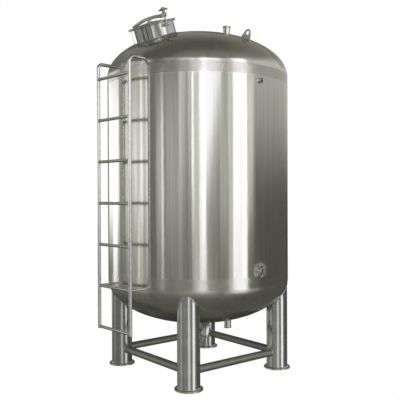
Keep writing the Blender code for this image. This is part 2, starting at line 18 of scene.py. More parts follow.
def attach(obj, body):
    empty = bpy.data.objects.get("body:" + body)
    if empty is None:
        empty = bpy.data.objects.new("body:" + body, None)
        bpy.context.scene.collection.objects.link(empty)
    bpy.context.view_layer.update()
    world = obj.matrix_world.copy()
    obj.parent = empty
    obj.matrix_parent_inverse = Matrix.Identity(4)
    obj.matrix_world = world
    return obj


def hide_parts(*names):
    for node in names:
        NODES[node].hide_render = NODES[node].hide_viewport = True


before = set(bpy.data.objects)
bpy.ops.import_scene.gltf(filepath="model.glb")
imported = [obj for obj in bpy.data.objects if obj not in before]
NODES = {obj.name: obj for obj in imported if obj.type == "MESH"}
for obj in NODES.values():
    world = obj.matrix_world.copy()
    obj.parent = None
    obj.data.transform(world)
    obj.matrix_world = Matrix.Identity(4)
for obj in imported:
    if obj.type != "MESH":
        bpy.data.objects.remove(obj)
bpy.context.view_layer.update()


# %% Helpers for objects
def linked(name, data):
    """A new object in the scene."""
    made = bpy.data.objects.new(name, data)
    bpy.context.scene.collection.objects.link(made)
    return made


def mesh_of(bm, name):
    """A bmesh as a mesh; it is used up."""
    mesh = bpy.data.meshes.new(name)
    bm.to_mesh(mesh)
    bm.free()
    return mesh


def moved(x, y, z):
    return Matrix.Translation((x, y, z))


def turned(degrees, axis):
    return Matrix.Rotation(math.radians(degrees), 4, axis)


print("scene", bpy.context.scene.name)

# %% [markdown]
# The main sizes are the drawing's own, in metres. The vessel's axis is a little off the origin,
# because the origin is under the middle of the footprint and the ladder stands out on one side.

# %% The vessel's sizes
AXIS = Vector((0.069585, 0.011, 0.0))
SHELL_R = 0.800
SHEET = 0.005
HEAD_DEPTH = 0.382
LOWER_TANGENT, UPPER_TANGENT = 0.793, 2.569
LOWER_SEAM, UPPER_SEAM = 0.876, 2.486
LEG_CIRCLE_R, LEG_R = 0.7025, 0.0915


def head_height(reach):
    """Height of a head's outside above its tangent line, that far from the axis."""
    return HEAD_DEPTH * math.sqrt(max(0.0, 1 - (reach / SHELL_R) ** 2))


def head_slope(reach):
    """How far a line square to the head leans outwards there."""
    part = reach / SHELL_R
    return math.atan(HEAD_DEPTH / SHELL_R * part / math.sqrt(1 - part * part))


print("crown", round(UPPER_TANGENT + HEAD_DEPTH, 3), "m")

# %% [markdown]
# The camera stands where the photographer stood: 5.5 m from the tank's axis, off its front left
# side and 1.54 m above the floor. The lens is 55.5 mm, and the camera looks a hair downwards.

# %% The camera
CAMERA_AT = AXIS + Vector((-3.4693, -4.3341, 1.5431))
CAMERA_BEARING = -38.8723
CAMERA_PITCH = -0.5751
CAMERA_ROLL = -0.2109


def aim(bearing, pitch, roll):
    """Rotation of a camera that looks along a bearing from +Y, all in degrees."""
    return (turned(bearing, "Z") @ turned(90 + pitch, "X") @ turned(roll, "Z")).to_euler()


camera = linked("camera", bpy.data.cameras.new("camera"))
camera.location = CAMERA_AT
camera.rotation_euler = aim(CAMERA_BEARING, CAMERA_PITCH, CAMERA_ROLL)
camera.data.lens = 55.4985
camera.data.sensor_width = 36.0
bpy.context.scene.camera = camera
print("camera at", [round(v, 3) for v in camera.location])

# %% [markdown]
# A brushed cylinder shows its room as upright streaks. The room here is a studio with tall strip
# lights set in a ring: each has a bearing, a half width and a level. Overhead and below the
# room is dark, as in a workshop, so the dished ends turn dark above and below their knuckles.
# The camera itself sees plain white, which Light Path sorts out.

# %% Helpers for node trees
class Socket:
    """An output in a node tree, to be reckoned with like a number."""

    def __init__(self, tree, end):
        self.tree, self.end = tree, end

    def calc(self, operation, *terms):
        return reckon(self.tree, operation, self, *terms)

    def __add__(self, other):
        return self.calc("ADD", other)

    def __sub__(self, other):
        return self.calc("SUBTRACT", other)

    def __rsub__(self, other):
        return reckon(self.tree, "SUBTRACT", other, self)

    def __mul__(self, other):
        return self.calc("MULTIPLY", other)

    def __truediv__(self, other):
        return self.calc("DIVIDE", other)

    def __rtruediv__(self, other):
        return reckon(self.tree, "DIVIDE", other, self)


def put(tree, value, target):
    """Wire a socket to an input, or set a plain value on it."""
    if isinstance(value, Socket):
        tree.links.new(value.end, target)
    else:
        target.default_value = value


def add_node(tree, kind, values=None, take=0, **settings):
    """A node with its settings and inputs; gives the output that is asked for."""
    made = tree.nodes.new(kind)
    for key, value in settings.items():
        setattr(made, key, value)
    for key, value in (values or {}).items():
        put(tree, value, made.inputs[key])
    return Socket(tree, made.outputs[take]) if made.outputs else None


def reckon(tree, operation, *terms):
    """A Math node over sockets and plain numbers."""
    return add_node(tree, "ShaderNodeMath", dict(enumerate(terms)), operation=operation)


def ease(value, low, high, out_low=0.0, out_high=1.0):
    """Smooth step of a socket from one number to another."""
    limits = {"Value": value, "From Min": low, "From Max": high, "To Min": out_low,
              "To Max": out_high}
    return add_node(value.tree, "ShaderNodeMapRange", limits, "Result",
                    interpolation_type="SMOOTHSTEP")


def mixed(share, low, high):
    """A colour between two, by a share; each is a socket or a plain colour."""
    low, high = [end if isinstance(end, Socket) else (*end, 1.0) for end in (low, high)]
    return add_node(share.tree, "ShaderNodeMix", {"Factor": share, "A": low, "B": high},
                    "Result", data_type="RGBA")


def split(vector):
    """The X, Y and Z of a vector."""
    node = add_node(vector.tree, "ShaderNodeSeparateXYZ", {0: vector}).end.node
    return [Socket(vector.tree, end) for end in node.outputs]


def new_group(name, inputs, outputs, rule):
    """A node group whose outputs are what a rule makes of its inputs."""
    group = bpy.data.node_groups.new(name, "ShaderNodeTree")
    for flow, labels in (("INPUT", inputs), ("OUTPUT", outputs)):
        for label in labels:
            kind = "NodeSocketVector" if label == "Place" else "NodeSocketFloat"
            group.interface.new_socket(label, in_out=flow, socket_type=kind)
    start = group.nodes.new("NodeGroupInput").outputs[:len(inputs)]
    found = rule(*[Socket(group, end) for end in start])
    for value, target in zip(found, group.nodes.new("NodeGroupOutput").inputs):
        put(group, value, target)
    return group


def use(group, *values, **named):
    """A group in the tree of its first input; gives all its outputs."""
    tree = values[0].tree
    made = tree.nodes.new("ShaderNodeGroup")
    made.node_tree = group
    for key, value in [*enumerate(values), *named.items()]:
        put(tree, value, made.inputs[key])
    return [Socket(tree, end) for end in made.outputs]


def fresh_tree(block):
    """The emptied node tree of a material or a world."""
    block.use_nodes = True
    block.node_tree.nodes.clear()
    return block.node_tree


# %% [markdown]
# One strip light is a node group: it is bright near its own bearing, and between a lower and an
# upper height. Most strips also have a weaker tail below the horizon, which is the light that a
# shiny floor gives back. The world adds up the strips.

# %% The strip light
STRIP_FADE, TOP_FADE = 7.0, 5.0
TAIL_LOW, TAIL_HIGH = -30.0, -18.0
LEAN_FROM, LEAN_SPAN = 2.8, 8.0


def strip_light(bearing, rise, centre, half, edge, bottom, top, level, tail, lean):
    apart = (bearing - centre).calc("WRAP", 180.0, -180.0)
    climb = (rise - LEAN_FROM).calc("MAXIMUM", 0.0).calc("MINIMUM", LEAN_SPAN)
    apart = (apart - climb * lean).calc("MAXIMUM", apart * -1.0)
    above = ease(rise, bottom - STRIP_FADE / 2, bottom + STRIP_FADE / 2)
    main = above * ease(rise, top + TOP_FADE, top) * level
    low = ease(rise, TAIL_LOW, TAIL_HIGH) * (1.0 - above) * tail
    return [(low + main) * ease(apart, half + edge, half)]


STRIP = new_group("strip light", ("Bearing", "Rise", "Centre", "Half Width", "Edge", "Bottom",
                                  "Top", "Level", "Tail", "Lean"), ("Light",), strip_light)

# bearing, half width, edge, bottom, top, level, tail, lean
STRIPS = (
    (97, 17.5, 3, -3.5, 9, 0.80, 0.04, 0),
    (104, 5, 4, -10.5, -3, 0.66, 0.06, 0),
    (119, 3, 3, -5, 24, 0.12, 0.03, 0),
    (132.4, 1.6, 1.5, -4, 24, 0.28, 0, 0),
    (148, 17, 3, -2, 23, 0.22, 0.10, 0),
    (152, 13, 3, -1, 4, 0.17, 0, 0),
    (151, 9, 5, -5, 7, 0.10, 0.03, 0),
    (148.7, 1.2, 1.5, -3, 5, 0.16, 0, 0),
    (158.4, 1.2, 1.8, -3, 23, 0.36, 0.08, 0),
    (154, 0.9, 1.2, -11, -4, 0.45, 0, 0),
    (167.2, 0.9, 1.3, -5, 24, 0.60, 0.10, 0),
    (-176, 3, 3, -3, 5.5, 0.26, 0.05, 0),
    (-172, 0.9, 1.3, -6, 6.5, 0.48, 0.12, 0),
    (-163, 12, 8, -4, 12, 0.04, 0.02, 0),
    (-158, 8, 5, -3, 7, 0.18, 0.02, 0),
    (-147.5, 2.6, 2, 2, 24, 0.28, 0.03, 0),
    (-140.5, 3.4, 2, 2, 24, 0.15, 0.03, 0),
    (-138.6, 0.7, 1, 2, 24, 0.26, 0.04, 0),
    (-134.8, 0.9, 0.8, -1.2, 21, 0.92, 0.08, 0),
    (-130, 3.4, 1.5, -1, 21, 0.42, 0.22, 0),
    (-122.6, 3.2, 1.2, -6.2, 23, 0.84, 0.32, 0),
    (-124, 7, 2, -17, -9, 0.16, 0, 0),
    (-119, 2.2, 3.5, 2.2, 22, 0.76, 0.05, 1.9),
    (-110, 6, 6, 0, 24, 0.13, 0.03, 0),
    (-95, 4.5, 4, -3, 24, 0.24, 0.04, 0),
    (-87.5, 2, 2, -12, 24, 0.30, 0.26, 0),
    (-75.5, 8.6, 2, -11, 26, 0.86, 0.74, 0),
    (-68, 2.5, 1.5, -19, -11.5, 0.28, 0, 0),
    (-66, 2, 2, -5, -1, 0.22, 0, 0),
    (-61, 1.5, 7, -2, 9, 0.36, 0, 0),
    (-56, 6, 4, -22, -13, 0.18, 0, 0),
    (-112, 5, 4, -23, -12, 0.16, 0, 0),
    (-140, 28, 10, 19, 27, 0.16, 0, 0),
    (-135, 16, 10, -42, -14, 0.05, 0, 0),
    (28, 7, 6, -2, 20, 0.03, 0, 0),
    (42, 16, 8, -45, 24, -0.04, 0, 0),
    (50, 10, 9, -30, 20, -0.14, 0, 0),
    (52, 9, 5, -12, 8, -0.25, 0, 0),
    (28, 18, 10, 16, 30, -0.20, 0, 0),
    (80, 26, 10, -60, -17, -0.05, 0, 0),
)
ROOM_GAIN = 1.50
LEFT_WALL, LEFT_LOW, LEFT_HIGH = 0.17, 0.11, 0.12
RIGHT_WALL, RIGHT_HIGH, RIGHT_LOW = 0.35, 0.46, 0.070
CEILING, CEILING_EDGE, CEILING_LEFT, GROUND = 0.080, 0.17, 0.078, 0.085
RIGHT_SIDE = -12.0      # bearing of the middle of the brighter wall
DARKEST = 0.02
BACKDROP = (1.0, 1.0, 1.0, 1.0)
DIM_LIGHT, FULL_LIGHT = (0.980, 0.99, 0.80), (0.99, 0.995, 0.985)
WARM_LIGHT, WARM_RISE = (1.0, 0.958, 0.82), 5.0
WARM_SIDES = ((-165.0, 28.0, 14.0), (-32.0, 24.0, 12.0))    # bearing, where it ends, where full


def blend(share, low, high):
    """A value between two, by a share; each is a socket or a plain number."""
    return add_node(share.tree, "ShaderNodeMix", {0: share, 2: low, 3: high}, data_type="FLOAT")


def aside(bearing, centre):
    """How far a bearing lies from another, in degrees."""
    return (bearing - centre).calc("WRAP", 180.0, -180.0).calc("ABSOLUTE")


def wall_light(bearing, rise):
    """The walls' own level: even on the ladder's side, stronger higher up on the other."""
    side = aside(bearing, RIGHT_SIDE)
    left = (ease(rise, -60.0, -34.0, GROUND, LEFT_LOW)
            + ease(rise, -8.0, 6.0, 0.0, LEFT_WALL - LEFT_LOW)
            + ease(rise, 9.0, 15.0, 0.0, LEFT_HIGH - LEFT_WALL))
    right = (ease(rise, -1.0, 9.5, RIGHT_LOW, RIGHT_WALL)
             + ease(rise, 8.0, 17.0, 0.0, RIGHT_HIGH - RIGHT_WALL))
    overhead = blend(ease(side, 125.0, 165.0),
                     ease(rise, 36.0, 78.0, CEILING_EDGE, CEILING), CEILING_LEFT)
    return blend(ease(rise, 22.0, 40.0), blend(ease(side, 78.0, 44.0), left, right), overhead)


def build_world():
    world = bpy.data.worlds.new("studio")
    bpy.context.scene.world = world
    tree = fresh_tree(world)
    x, y, z = split(add_node(tree, "ShaderNodeTexCoord", take="Generated"))
    bearing = y.calc("ARCTAN2", x).calc("DEGREES")
    rise = z.calc("ARCSINE").calc("DEGREES")
    total = wall_light(bearing, rise)
    for strip in STRIPS:
        total = total + use(STRIP, bearing, rise, *strip)[0]
    total = total.calc("MAXIMUM", DARKEST)
    first, second = [ease(aside(bearing, side), end, full) for side, end, full in WARM_SIDES]
    warmth = first.calc("MAXIMUM", second) * ease((rise - WARM_RISE).calc("ABSOLUTE"), 18.0, 11.0)
    dim = mixed(warmth, DIM_LIGHT, WARM_LIGHT)
    tint = mixed(total.calc("MINIMUM", 1.0), dim, FULL_LIGHT)
    room = add_node(tree, "ShaderNodeBackground", {"Color": tint, "Strength": total * ROOM_GAIN})
    plain = add_node(tree, "ShaderNodeBackground", {"Color": BACKDROP})
    seen = add_node(tree, "ShaderNodeLightPath", take="Is Camera Ray")
    either = add_node(tree, "ShaderNodeMixShader", {"Fac": seen, 1: room, 2: plain})
    add_node(tree, "ShaderNodeOutputWorld", {"Surface": either})


build_world()
bpy.context.scene.view_settings.view_transform = "Standard"
print("strip lights", len(STRIPS))

# %% [markdown]
# The floor is a wide pale disc that only the camera sees. In the steel the lower half of the
# room is seen instead, much darker, which keeps the bottom head and the undersides of the
# braces as deep as they are in real life.

# %% The floor
FLOOR_R = 30.0
CONTACT_REACH = 0.05
CONTACT_SHADE = 0.72


def build_floor():
    bm = bmesh.new()
    bmesh.ops.create_circle(bm, cap_ends=True, segments=96, radius=FLOOR_R)
    mesh = mesh_of(bm, "floor")
    floor = linked("floor", mesh)
    floor.visible_glossy = False
    floor.visible_diffuse = False
    mat = bpy.data.materials.new("pale floor")
    tree = fresh_tree(mat)
    # The floor's glow dims near the feet by ambient occlusion. This is a painted contact shadow.
    shade = add_node(tree, "ShaderNodeAmbientOcclusion", {"Distance": CONTACT_REACH}, "AO",
                     samples=8)
    glow = {"Color": BACKDROP, "Strength": ease(shade, 0.0, 1.0, CONTACT_SHADE, 1.0)}
    seen = add_node(tree, "ShaderNodeEmission", glow)
    add_node(tree, "ShaderNodeOutputMaterial", {"Surface": seen})
    mesh.materials.append(mat)


build_floor()
print("floor", 2 * FLOOR_R, "m across")

# %% [markdown]
# Three node groups carry the steel's finish. The first turns a place into a bearing and an arc
# length round an axis, which is how a rolled sheet is brushed. The second makes long fine grain
# lines. The third makes the soft hand polishing marks and the slight unevenness of the sheet.
# They give only numbers, and each material has its own Principled shader.

# %% Groups for the finish
def round_place(place, radius):
    """Arc length round the local Z axis, height, and distance from the axis."""
    x, y, z = split(place)
    return y.calc("ARCTAN2", x) * radius, z, (x * x + y * y).calc("SQRT")


def grain_lines(along, across, length, spacing, depth):
    """Noise drawn out along one direction: fine lines between 0 and 1, and their height."""
    place = add_node(along.tree, "ShaderNodeCombineXYZ",
                     {"X": along / length, "Y": across / spacing})
    lines = add_node(along.tree, "ShaderNodeTexNoise", {"Vector": place, "Scale": 1.0,
                                                        "Detail": 3.0, "Roughness": 0.6}, "Fac")
    return lines, lines * depth


def hand_polish(place, size, depth, swirl):
    """Soft marks of hand polishing: a mask between 0 and 1, and a height."""
    noise = add_node(place.tree, "ShaderNodeTexNoise",
                     {"Vector": place, "Scale": 1.0 / size, "Detail": 2.0, "Roughness": 0.45,
                      "Distortion": swirl}, "Fac")
    return strength(noise), noise * depth


def strength(noise):
    """The middle range of a noise, stretched to go from 0 to 1."""
    return ease(noise, 0.3, 0.7)


ROUND = new_group("round place", ("Place", "Radius"), ("Arc", "Height", "Reach"), round_place)
STREAK = new_group("grain lines", ("Along", "Across", "Length", "Spacing", "Depth"),
                   ("Lines", "Height"), grain_lines)
POLISH = new_group("hand polish", ("Place", "Size", "Depth", "Swirl"), ("Mask", "Height"),
                   hand_polish)
print("groups", ROUND.name, STREAK.name, POLISH.name)

# %% [markdown]
# Every steel here is a metal whose colour, roughness and bump change a little over the surface.
# The rolled and turned pieces are brushed round their axis. Their shine is drawn out along the
# height by the anisotropic setting, whose direction comes from the piece's UV map, with U
# running up the wall.

# %% Steel materials
POLISHED = (0.665, 0.660, 0.650)
BRIGHT = (0.680, 0.676, 0.665)
SATIN = (0.560, 0.555, 0.540)
PICKLED = (0.385, 0.380, 0.372)
PIPE = (0.655, 0.655, 0.685)
WHITE_STEEL = (0.820, 0.822, 0.850)
WELD_LIGHT = (0.66, 0.65, 0.62)
GROUND_TONE = (0.400, 0.396, 0.385)
SKIRT_TONE = (0.530, 0.518, 0.500)
ZONE_DEPTH, ZONE_FADE = -0.3, 0.1
SHELL_ZONE_ROUGH, HEAD_ZONE_ROUGH = 0.30, 0.34
FINE_SHARE, BROAD_SHARE = 0.45, 0.55


def metal(name, roughness, anisotropic=0.0):
    """A metallic Principled material, ready to take its colour and bump."""
    mat = bpy.data.materials.new(name)
    tree = fresh_tree(mat)
    values = {"Metallic": 1.0, "Roughness": roughness, "Anisotropic": anisotropic}
    if anisotropic:
        values["Tangent"] = add_node(tree, "ShaderNodeTangent", direction_type="UV_MAP")
    shader = add_node(tree, "ShaderNodeBsdfPrincipled", values)
    add_node(tree, "ShaderNodeOutputMaterial", {"Surface": shader})
    return mat


def coat(mat, base, rough, height):
    """Give a material its colour, its roughness, and bump from a height in metres."""
    tree = mat.node_tree
    bump = add_node(tree, "ShaderNodeBump", {"Strength": 1.0, "Distance": 1.0, "Height": height})
    shader = tree.nodes["Principled BSDF"]
    for key, value in (("Base Color", base), ("Roughness", rough), ("Normal", bump)):
        put(tree, value, shader.inputs[key])
    return mat


def object_place(mat):
    return add_node(mat.node_tree, "ShaderNodeTexCoord", take="Object")


def place_from(mat, matrix):
    """Object coordinates seen from a piece's own frame."""
    values = {"Vector": object_place(mat), "Location": matrix.to_translation(),
              "Rotation": matrix.to_euler()}
    return add_node(mat.node_tree, "ShaderNodeMapping", values, vector_type="TEXTURE")


def shaded(colour, by):
    return tuple(channel * by for channel in colour)


def mottled(mask, colour, dark, light):
    """A colour that goes from a darker to a lighter shade of itself, by a mask."""
    return mixed(mask, shaded(colour, dark), shaded(colour, light))


def ground_zone(mat, places):
    """Mask of the hand ground steel round the welds, with a ragged edge."""
    masks = []
    for matrix, inner, outer in places:
        where = place_from(mat, matrix)
        _, height, reach = use(ROUND, where, Radius=1.0)
        _, ragged = use(POLISH, where, Size=0.022, Depth=outer - inner, Swirl=0.8)
        shift = (outer - inner) / 2
        near = ease(reach + ragged, outer + shift, inner + shift)
        masks.append(near * ease(height, ZONE_DEPTH - ZONE_FADE, ZONE_DEPTH))
    total = masks[0]
    for mask in masks[1:]:
        total = total.calc("MAXIMUM", mask)
    return total


def rolled_steel(name, matrix, radius, roughness, anisotropic, wave, lines, colour, welds=(),
                 pitch=0.10, contrast=0.12):
    """Sheet brushed round an axis: fine lines, and a slow wave that bends the reflections."""
    mat = metal(name, roughness, anisotropic)
    place = place_from(mat, matrix)
    round_way, height, _ = use(ROUND, place, Radius=radius)
    grain, scratches = use(STREAK, round_way, height, Length=0.15, Spacing=0.0012, Depth=0.3e-6)
    _, waves = use(STREAK, height, round_way, Length=0.35 + pitch, Spacing=pitch, Depth=wave)
    fine, ridges = use(STREAK, height, round_way, Length=0.60, Spacing=0.007, Depth=lines)
    broad, _ = use(STREAK, height, round_way, Length=12 * pitch, Spacing=0.3 * pitch, Depth=0.0)
    mask = strength(fine) * FINE_SHARE + strength(broad) * BROAD_SHARE
    base = mottled(mask, colour, 1 - contrast, 1 + 0.8 * contrast)
    rough = grain * 0.06 + (roughness - 0.03)
    bump = scratches + waves + ridges
    if welds:
        zone = ground_zone(mat, welds)
        rough = zone * SHELL_ZONE_ROUGH + rough
        bump = zone * use(POLISH, place, Size=0.012, Depth=0.0012, Swirl=1.0)[1] + bump
    return coat(mat, base, rough, bump)


def dished_steel(name, matrix, colour, roughness, blotch, ripple, welds=(), skirt=None,
                 skirt_tone=POLISHED, skirt_rough=0.0, skirt_lumps=0.0):
    """A spun head or lid: buffed in rings, with soft blotches from the hand polishing."""
    mat = metal(name, roughness)
    place = place_from(mat, matrix)
    round_way, height, reach = use(ROUND, place, Radius=1.0)
    rings, ripples = use(STREAK, round_way, reach, Length=0.8, Spacing=0.004, Depth=ripple)
    mask, blotches = use(POLISH, place, Size=0.11, Depth=blotch, Swirl=0.6)
    base = mottled(mask, colour, 0.95, 1.04)
    rough = rings * 0.04 + (mask * 0.05 + (roughness - 0.025))
    bump = ripples + blotches
    if skirt:
        middle, inner, outer = skirt
        band = ease((height - middle).calc("ABSOLUTE"), outer, inner)
        bump = band * use(POLISH, place, Size=0.060, Depth=skirt_lumps, Swirl=0.4)[1] + bump
        rough = band * skirt_rough + rough
        base = mixed(band, base, skirt_tone)
    if welds:
        zone = ground_zone(mat, welds)
        rough = zone * HEAD_ZONE_ROUGH + rough
        base = mixed(zone, base, GROUND_TONE)
    return coat(mat, base, rough, bump)


def plain_steel(name, colour, roughness, size, depth, spread=0.06, dark=0.93, light=1.05):
    """Tube, bar and plate: soft marks in colour, roughness and bump."""
    mat = metal(name, roughness)
    where = object_place(mat)
    mask, marks = use(POLISH, where, Size=size, Depth=depth, Swirl=0.3)
    fine_mask, fine_marks = use(POLISH, where, Size=size / 9, Depth=depth / 20, Swirl=0.0)
    rough = fine_mask * (spread / 2) + (mask * spread + (roughness - spread / 2))
    return coat(mat, mottled(mask, colour, dark, light), rough, marks + fine_marks)


TANK_FRAME = Matrix.Translation(AXIS)
LEG_STEEL = plain_steel("polished pipe", PIPE, 0.13, 0.09, 0.00006)
# The rear legs' steel is a third darker. This is painted shade, standing in for the light that
# the tank and the other legs keep from them.
REAR_LEG_STEEL = plain_steel("pipe with painted shade", shaded(PIPE, 0.68), 0.13, 0.09, 0.00006)
TUBE_STEEL = plain_steel("ladder tube", shaded(WHITE_STEEL, 0.90), 0.13, 0.04, 0.00003)
# The stand-off bars' near-white colour is a painted highlight, brighter than the steel itself.
BAR_STEEL = plain_steel("stand-off bar", (0.93, 0.93, 0.93), 0.36, 0.02, 0.00003)
BRACE_STEEL = plain_steel("pickled pipe", shaded(PICKLED, 1.04), 0.55, 0.05, 0.00003)
FOOT_STEEL = plain_steel("foot plate", BRIGHT, 0.30, 0.03, 0.00003)
# The lug ears' near-white colour is painted light. It brightens ears that face the dark ceiling
# and floor.
EAR_STEEL = plain_steel("filed lug with painted light", (0.95, 0.95, 0.95), 0.50, 0.01, 0.00003)
ARM_STEEL = plain_steel("forged arm", shaded(BRIGHT, 0.66), 0.20, 0.02, 0.00003)
EYE_STEEL = plain_steel("lug plate", shaded(BRIGHT, 0.92), 0.42, 0.03, 0.00002)
SOCKET_STEEL = plain_steel("socket", WHITE_STEEL, 0.20, 0.02, 0.00002)
NOZZLE_STEEL = plain_steel("nozzle tube", POLISHED, 0.12, 0.02, 0.00002)
SEAM_STEEL = plain_steel("ground seam", POLISHED, 0.15, 0.02, 0.00004)
PAD_STEEL = plain_steel("ground pad", BRIGHT, 0.26, 0.022, 0.00160, spread=0.16, dark=0.50,
                        light=1.38)
FORGED_STEEL = plain_steel("turned fittings", shaded(BRIGHT, 0.94), 0.24, 0.02, 0.00002)
WELD_STEEL = plain_steel("weld bead", WELD_LIGHT, 0.34, 0.005, 0.0004, spread=0.14)
print("steels", LEG_STEEL.name, TUBE_STEEL.name)

# %% [markdown]
# The lid closes on a white silicone ring. It is the one piece that isn't metal: a soft rubber
# with a faint mottle, seen as a thin pale line under the lid and whole when the lid is open.

# %% The seal's material
SILICONE = (0.80, 0.80, 0.77)


def silicone():
    mat = bpy.data.materials.new("white silicone")
    mat.use_nodes = True
    mask, marks = use(POLISH, object_place(mat), Size=0.01, Depth=0.0001, Swirl=0.0)
    return coat(mat, mottled(mask, SILICONE, 0.93, 1.0), mask * 0.1 + 0.42, marks)


SEAL = silicone()
print("seal", SEAL.name)

# %% [markdown]
# Polished metal shows every fault in its normals. Blender's usual smooth shading lets a rounded
# edge bend the flat face beside it, so each piece gets corner normals weighted by the area of
# the faces around, and only faces within an angle of each other are smoothed together.

# %% Helpers for pieces
SPIN_STEPS = 256
MERGE = 1e-6
ROUND_STEPS = 4


def even_normals(mesh, limit):
    """Corner normals weighted by area, among faces that lie within the limit in degrees."""
    closest = math.cos(math.radians(limit))
    faces = [(face.area, face.normal.copy()) for face in mesh.polygons]
    around = [[] for _ in mesh.vertices]
    for face in mesh.polygons:
        for index in face.vertices:
            around[index].append(face.index)
    normals = []
    for face in mesh.polygons:
        own = faces[face.index][1]
        for index in face.vertices:
            total = Vector((0, 0, 0))
            for other in around[index]:
                area, normal = faces[other]
                if own.dot(normal) > closest:
                    total += area * normal
            normals.append(total.normalized() if total.length > 0 else own)
    mesh.normals_split_custom_set(normals)


def keep(bm, name, material, *nodes, slot="satin_steel", body="tank", limit=50.0):
    """Make a piece of a finished bmesh that is already in its place."""
    mesh = mesh_of(bm, name)
    obj = linked(name, mesh)
    mesh.materials.append(material)
    mesh.shade_smooth()
    even_normals(mesh, limit)
    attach(obj, body)
    if nodes:
        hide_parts(*nodes)
    return obj


def weld(bm, name, material=WELD_STEEL, slot="satin_steel"):
    """A weld bead, which rides on the tank and replaces nothing."""
    keep(bm, name, material, slot=slot, limit=70)


def tight(bm):
    """A bmesh without doubled points, its faces turned outwards."""
    bmesh.ops.remove_doubles(bm, verts=bm.verts, dist=MERGE)
    bmesh.ops.recalc_face_normals(bm, faces=bm.faces)
    return bm


def spun(outline, steps=SPIN_STEPS, closed=True):
    """A bmesh turned from an outline of (reach, height) points round local Z."""
    bm = bmesh.new()
    verts = [bm.verts.new((reach, 0, height)) for reach, height in outline]
    edges = [bm.edges.new(pair) for pair in zip(verts, verts[1:])]
    if closed:
        edges.append(bm.edges.new((verts[-1], verts[0])))
    bmesh.ops.spin(bm, geom=verts + edges, axis=(0, 0, 1), cent=(0, 0, 0), angle=math.tau,
                   steps=steps, use_merge=True)
    return tight(bm)


def rounded(outline, radii):
    """A closed outline with its corners rounded, each by its own radius or 0."""
    made = []
    count = len(outline)
    for i, radius in enumerate(radii):
        corner = Vector(outline[i])
        if not radius:
            made.append(tuple(corner))
            continue
        before = (Vector(outline[i - 1]) - corner).normalized()
        after = (Vector(outline[(i + 1) % count]) - corner).normalized()
        half = before.angle(after) / 2
        middle = corner + (before + after).normalized() * radius / math.sin(half)
        start = corner + before * radius / math.tan(half) - middle
        end = corner + after * radius / math.tan(half) - middle
        for step in range(ROUND_STEPS + 1):
            share = step / ROUND_STEPS
            made.append(tuple(middle + start.lerp(end, share).normalized() * radius))
    return made


def at(bm, matrix):
    bmesh.ops.transform(bm, matrix=matrix, verts=bm.verts)
    return bm


def round_bar(radius, end, edge, steps=32):
    """A bar that reaches as far along local Z both ways, its edges rounded."""
    section = [(0, end), (radius, end), (radius, -end), (0, -end)]
    return spun(rounded(section, (0, edge, edge, 0)), steps=steps, closed=False)


def evaluated(obj):
    """A helper object's final mesh, as a bmesh; the object is used up."""
    graph = bpy.context.evaluated_depsgraph_get()
    mesh = bpy.data.meshes.new_from_object(obj.evaluated_get(graph))
    bm = bmesh.new()
    bm.from_mesh(mesh)
    bpy.data.objects.remove(obj)
    bpy.data.meshes.remove(mesh)
    return bm


def curve_bmesh(curve):
    """The mesh of a curve, welded, as a bmesh; the curve is used up."""
    bm = evaluated(linked("guide", curve))
    bpy.data.curves.remove(curve)
    return tight(bm)


def tube(points, radius, sides, cyclic=False, swell=None):
    """A round bar along a path; swell gives each point's share of the radius."""
    curve = bpy.data.curves.new("path", "CURVE")
    curve.dimensions = "3D"
    curve.bevel_depth = radius
    curve.bevel_resolution = (sides - 4) // 2
    curve.use_fill_caps = not cyclic
    spline = curve.splines.new("POLY")
    spline.points.add(len(points) - 1)
    for point, place, share in zip(spline.points, points, swell or [1.0] * len(points)):
        point.co = (*place, 1)
        point.radius = share
    spline.use_cyclic_u = cyclic
    return curve_bmesh(curve)


def bead(points, radius, sides=8, swell=None):
    """A closed ring of weld along a path."""
    return tube(points, radius, sides, cyclic=True, swell=swell)


def plate(outlines, thickness, edge):
    """A flat plate in local XY with rounded edges; outlines after the first are holes."""
    curve = bpy.data.curves.new("outline", "CURVE")
    curve.dimensions = "2D"
    curve.fill_mode = "BOTH"
    curve.extrude = thickness / 2 - edge
    curve.bevel_depth = edge
    curve.bevel_resolution = 3
    curve.offset = -edge
    for outline in outlines:
        spline = curve.splines.new("POLY")
        spline.points.add(len(outline) - 1)
        for point, (x, y) in zip(spline.points, outline):
            point.co = (x, y, 0, 1)
        spline.use_cyclic_u = True
    return curve_bmesh(curve)


def carve(bm, tool):
    """One bmesh cut by another through a Boolean; both are used up."""
    target, cutter = [linked("carving", mesh_of(part, "carving")) for part in (bm, tool)]
    boolean = target.modifiers.new("cut", "BOOLEAN")
    boolean.operation = "DIFFERENCE"
    boolean.solver = "EXACT"
    boolean.object = cutter
    result = evaluated(target)
    bpy.data.objects.remove(cutter)
    return result


def drum(radius, low, high, segments=96):
    """A capped cylinder on local Z."""
    bm = bmesh.new()
    bmesh.ops.create_cone(bm, cap_ends=True, segments=segments, radius1=radius, radius2=radius,
                          depth=high - low)
    return at(bm, moved(0, 0, (low + high) / 2))


def arc(cx, cy, radius, start, end, steps):
    """Points of an arc, angles in degrees."""
    turns = [math.radians(start + (end - start) * i / steps) for i in range(steps + 1)]
    return [(cx + radius * math.cos(a), cy + radius * math.sin(a)) for a in turns]


def circle(cx, cy, radius, steps=40):
    return arc(cx, cy, radius, 0, 360 - 360 / steps, steps - 1)


def joined(*parts):
    """Several bmeshes as one; all are used up."""
    whole = bmesh.new()
    for part in parts:
        mesh = mesh_of(part, "part")
        whole.from_mesh(mesh)
        bpy.data.meshes.remove(mesh)
    return whole


print("spin steps", SPIN_STEPS)

# %% [markdown]
# The vessel comes first. A rolled shell is a ring, and a dished head is an ellipse's quarter
# spun with its straight skirt down to the seam. The bores are cut by Boolean. After a cut the
# faces round the hole are odd shapes, so the vessel's normals come from the ellipse's own
# formula and not from the faces.

# %% The vessel's surface
HEAD_ROWS = 44
WALL_FACING = 0.9       # how well a face must agree with the formula to take its normal


